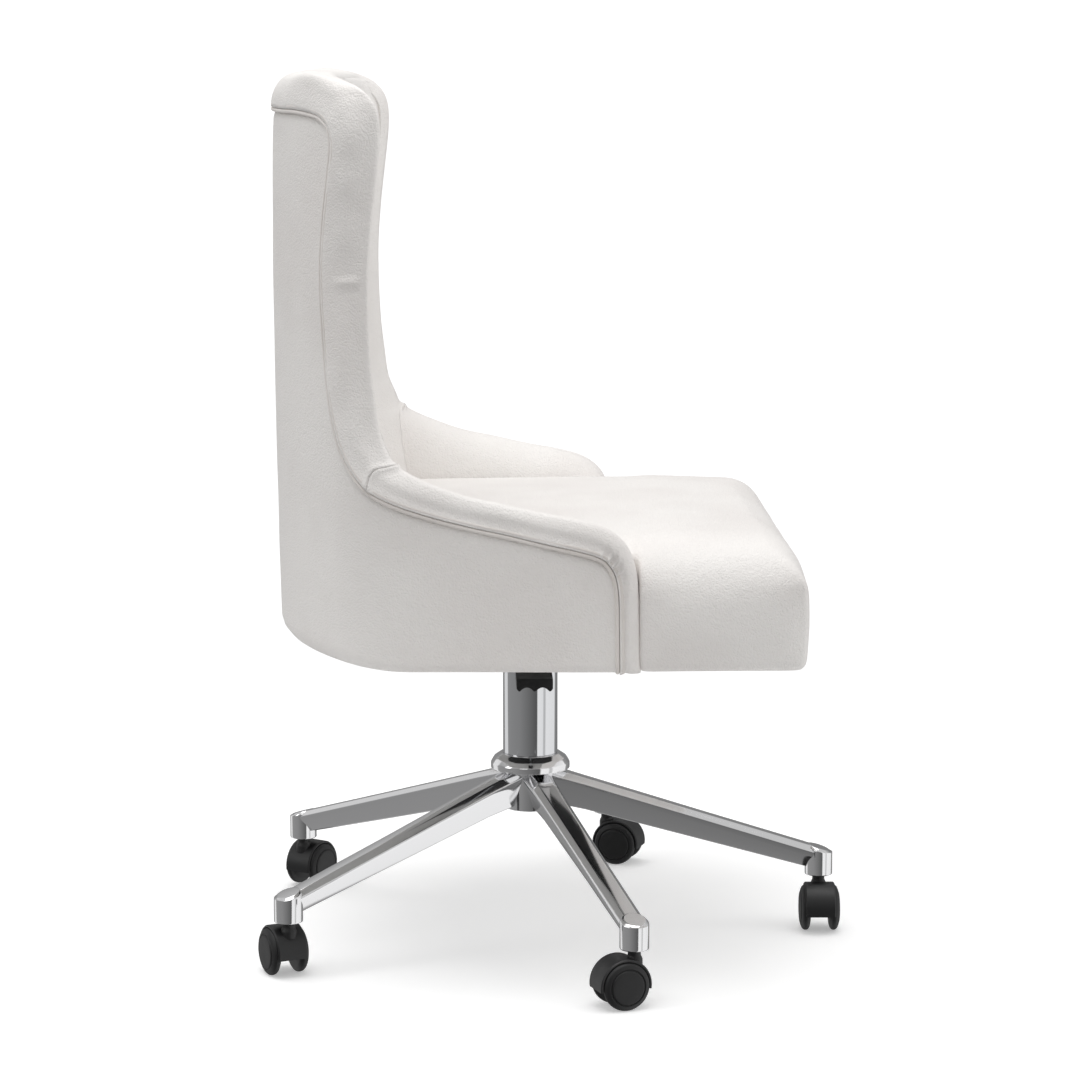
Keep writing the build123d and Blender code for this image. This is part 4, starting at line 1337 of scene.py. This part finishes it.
# ---- column and lever -------------------------------------------------------------------------
@dataclass
class Column:
    """Chrome sleeve on the base and the one that slides out of it with the seat."""

    finishes: Finishes
    wall: float = 1.5

    def sleeve(self, node: str, body: str) -> None:
        """One sleeve with rolled ends, sized from its CAD node.

        Args:
            node: the CAD node.
            body: the body it rides on.
        """
        low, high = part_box(node)
        radius = (high.x - low.x) / 2 / MM
        z0, z1 = low.z / MM, high.z / MM
        outline = [(radius - self.wall, z0), (radius, z0), (radius, z1), (radius - self.wall, z1),
                   (radius - self.wall, z0)]
        obj = piece_from(node + "_tube", spun_profile(rounded_profile(outline, 0.6, 3), 96))
        sharpen(obj, 50)
        dress(obj, body, self.finishes.chrome, [node])

    def build(self) -> None:
        """Build both sleeves."""
        self.sleeve("column_sleeve", "base")
        self.sleeve("inner_column_sleeve", "seat")


@dataclass
class HeightLever:
    """Moulded paddle with two finger grooves underneath."""

    finishes: Finishes
    half_x: float = 19.0
    end_y: float = -200.0
    start_y: float = -146.0
    low_z: float = 306.5
    top_z: float = 320.0
    groove: float = 4.2
    edge: float = 1.6

    def build(self) -> None:
        """Build and dress the paddle."""
        bm = bmesh.new()
        count = 40
        ring = []
        for i in range(count + 1):
            x = mix(-self.half_x, self.half_x, i / count)
            share = abs(x) / self.half_x
            scallop = math.cos((share - 0.43) / 0.36 * math.pi / 2) if abs(share - 0.43) < 0.36 else 0.0
            corner = 3.2 * max(0.0, (share - 0.84) / 0.16) ** 2
            ring.append((x, self.low_z + self.groove * scallop ** 0.8 + corner))
        verts = [bm.verts.new((x, self.end_y, z)) for x, z in ring]
        verts += [bm.verts.new((x, self.end_y, self.top_z)) for x in (self.half_x, -self.half_x)]
        face = bm.faces.new(verts)
        grown = bmesh.ops.extrude_face_region(bm, geom=[face])["geom"]
        moved = [g for g in grown if isinstance(g, bmesh.types.BMVert)]
        bmesh.ops.translate(bm, vec=(0, self.start_y - self.end_y, 0), verts=moved)
        bmesh.ops.recalc_face_normals(bm, faces=bm.faces[:])
        crisp = [e for e in bm.edges if e.calc_face_angle(0) > math.radians(40)]
        bmesh.ops.bevel(bm, geom=crisp, offset=self.edge, segments=3, profile=0.5, affect="EDGES",
                        material=-1, clamp_overlap=True)
        obj = piece_from("lever_paddle_grip", bm)
        sharpen(obj, 40)
        dress(obj, "height_lever", self.finishes.nylon, ["lever_paddle"])


class HiddenWorks:
    """CAD pieces that stay as they are and only take a finish."""

    def __init__(self, frame: dict, finishes: Finishes) -> None:
        """Keep the frame's nodes and the finish of each material slot.

        Args:
            finishes: the chair's materials.
        """
        self.nodes = frame["nodes"]
        slots = {s["node"]: s["material_slot"] for s in frame["record"]["subparts"]}
        by_slot = {"steel": finishes.steel, "black_nylon": finishes.nylon, "black_paint": finishes.paint,
                   "seal_rubber": finishes.rubber, "plywood": finishes.ply, "dust_cloth": finishes.lining,
                   "chrome": finishes.chrome, "polished_aluminium": finishes.aluminium,
                   "white_leather": finishes.leather, "padded_leather": finishes.leather}
        self.finish = {node: by_slot[slot] for node, slot in slots.items()}

    def build(self) -> None:
        """Dress every CAD node."""
        for name, obj in self.nodes.items():
            obj.data.materials.clear()
            obj.data.materials.append(self.finish[name])


# ---- studio -----------------------------------------------------------------------------------
@dataclass
class Studio:
    """Pale floor, soft lights and the camera."""

    lens_mm: float = 113.52
    sensor_mm: float = 36.0
    camera_spot: Spot = (-87.243, -3674.805, 997.1)
    look: Spot = (0.02633894, 0.98817986, -0.15101928)
    floor_size: float = 1800.0      # past it the plain white tent shows
    floor_glow: float = 0.34
    # grey level of the tent's panels by direction: 0 and 1 face -X, 0.25 -Y, 0.5 +X and 0.75 +Y
    panels: tuple[tuple[float, float], ...] = (
        (0.0, 0.30), (0.12, 0.27), (0.25, 0.17), (0.325, 0.11), (0.335, 1.0), (0.40, 0.95), (0.41, 0.6),
        (0.43, 0.62), (0.44, 1.0), (0.592, 0.95), (0.60, 0.32), (0.67, 0.22), (0.75, 0.25), (0.86, 0.30),
        (0.867, 0.85), (0.935, 0.85), (0.945, 0.32), (1.0, 0.30))

    def add_area(self, name: str, spot: Spot, aim: Spot, size: tuple[float, float], power: float) -> None:
        """Add a soft rectangular light.

        Args:
            name: its name.
            spot: where it stands, in millimetres.
            aim: the point it faces.
            size: width and height.
            power: in watts.
        """
        light = bpy.data.lights.new(name, "AREA")
        light.shape = "RECTANGLE"
        light.size, light.size_y = size[0] * MM, size[1] * MM
        light.energy = power
        obj = bpy.data.objects.new(name, light)
        way = Vector(aim) - Vector(spot)
        turn = way.to_track_quat("-Z", "Y").to_matrix().to_4x4()
        obj.matrix_world = Matrix.Translation(Vector(spot) * MM) @ turn
        bpy.context.scene.collection.objects.link(obj)

    def build(self) -> None:
        """Make the camera, floor, lights and sky."""
        camera = bpy.data.cameras.new("camera")
        camera.lens, camera.sensor_width = self.lens_mm, self.sensor_mm
        holder = bpy.data.objects.new("camera", camera)
        turn = Vector(self.look).to_track_quat("-Z", "Y").to_matrix().to_4x4()
        holder.matrix_world = Matrix.Translation(Vector(self.camera_spot) * MM) @ turn
        bpy.context.scene.collection.objects.link(holder)
        bpy.context.scene.camera = holder
        bm = bmesh.new()
        bmesh.ops.create_grid(bm, x_segments=1, y_segments=1, size=self.floor_size / 2)
        floor = piece_from("floor", bm)
        material, tree, shader = new_material("white_floor")
        shader.inputs["Base Color"].default_value = linear("#F3F3F3")
        shader.inputs["Roughness"].default_value = 0.8
        sight = add_node(tree, "ShaderNodeLightPath").outputs["Is Camera Ray"]
        glow = add_node(tree, "ShaderNodeMath", {"operation": "MULTIPLY", 1: self.floor_glow}, {0: sight})
        tree.links.new(glow.outputs[0], shader.inputs["Emission Strength"])
        shader.inputs["Emission Color"].default_value = (1, 1, 1, 1)
        floor.data.materials.append(material)
        floor.visible_glossy = False    # the metal shows the tent's panels instead
        self.add_area("top_light", (-300, -300, 3600), (0, 0, 400), (3000, 3000), 72)
        self.add_area("front_light", (-1500, -3800, 2300), (0, 0, 500), (1600, 1400), 7)
        self.add_area("left_light", (-3400, -1200, 1700), (0, 0, 450), (1200, 2200), 15)
        self.build_sky()

    def build_sky(self) -> None:
        """Light tent: white and grey panels round the chair, seen as plain white past it."""
        world = bpy.data.worlds.new("studio")
        world.use_nodes = True
        bpy.context.scene.world = world
        tree = world.node_tree
        back = tree.nodes["Background"]
        way = add_node(tree, "ShaderNodeTexCoord").outputs["Generated"]
        turn = add_node(tree, "ShaderNodeTexGradient", {"gradient_type": "RADIAL"}, {"Vector": way})
        panels = add_node(tree, "ShaderNodeValToRGB", {}, {"Fac": turn.outputs["Fac"]})
        ramp = panels.color_ramp
        for place, _ in self.panels[2:]:
            ramp.elements.new(place)
        for element, (place, grey) in zip(ramp.elements, self.panels):
            element.position, element.color = place, (grey, grey, grey, 1)
        split = add_node(tree, "ShaderNodeSeparateXYZ", {}, {"Vector": way})
        high = add_node(tree, "ShaderNodeMapRange", {"From Min": 0.3, "From Max": 0.7},
                        {"Value": split.outputs["Z"]})
        tent = add_node(tree, "ShaderNodeMixRGB", {"Color2": (0.62, 0.62, 0.62, 1)},
                        {"Fac": high.outputs["Result"], "Color1": panels.outputs["Color"]})
        tree.links.new(tent.outputs["Color"], back.inputs["Color"])
        plain = add_node(tree, "ShaderNodeBackground", {"Color": (1, 1, 1, 1), "Strength": 1.1})
        sight = add_node(tree, "ShaderNodeLightPath").outputs["Is Camera Ray"]
        both = add_node(tree, "ShaderNodeMixShader", {},
                        {0: sight, 1: back.outputs["Background"], 2: plain.outputs["Background"]})
        tree.links.new(both.outputs["Shader"], tree.nodes["World Output"].inputs["Surface"])
        bpy.context.scene.view_settings.view_transform = "Standard"


def main() -> None:
    """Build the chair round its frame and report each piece."""
    logging.basicConfig(level=logging.INFO, format="%(name)s %(message)s")
    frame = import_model()
    Studio().build()
    finishes = Finishes()
    HiddenWorks(frame, finishes).build()
    Upholstery(finishes).build()
    SeatCushion(finishes).build()
    StarBase(finishes).build()
    Caster(finishes).build()
    Column(finishes).build()
    HeightLever(finishes).build()


if __name__ == "__main__":
    main()
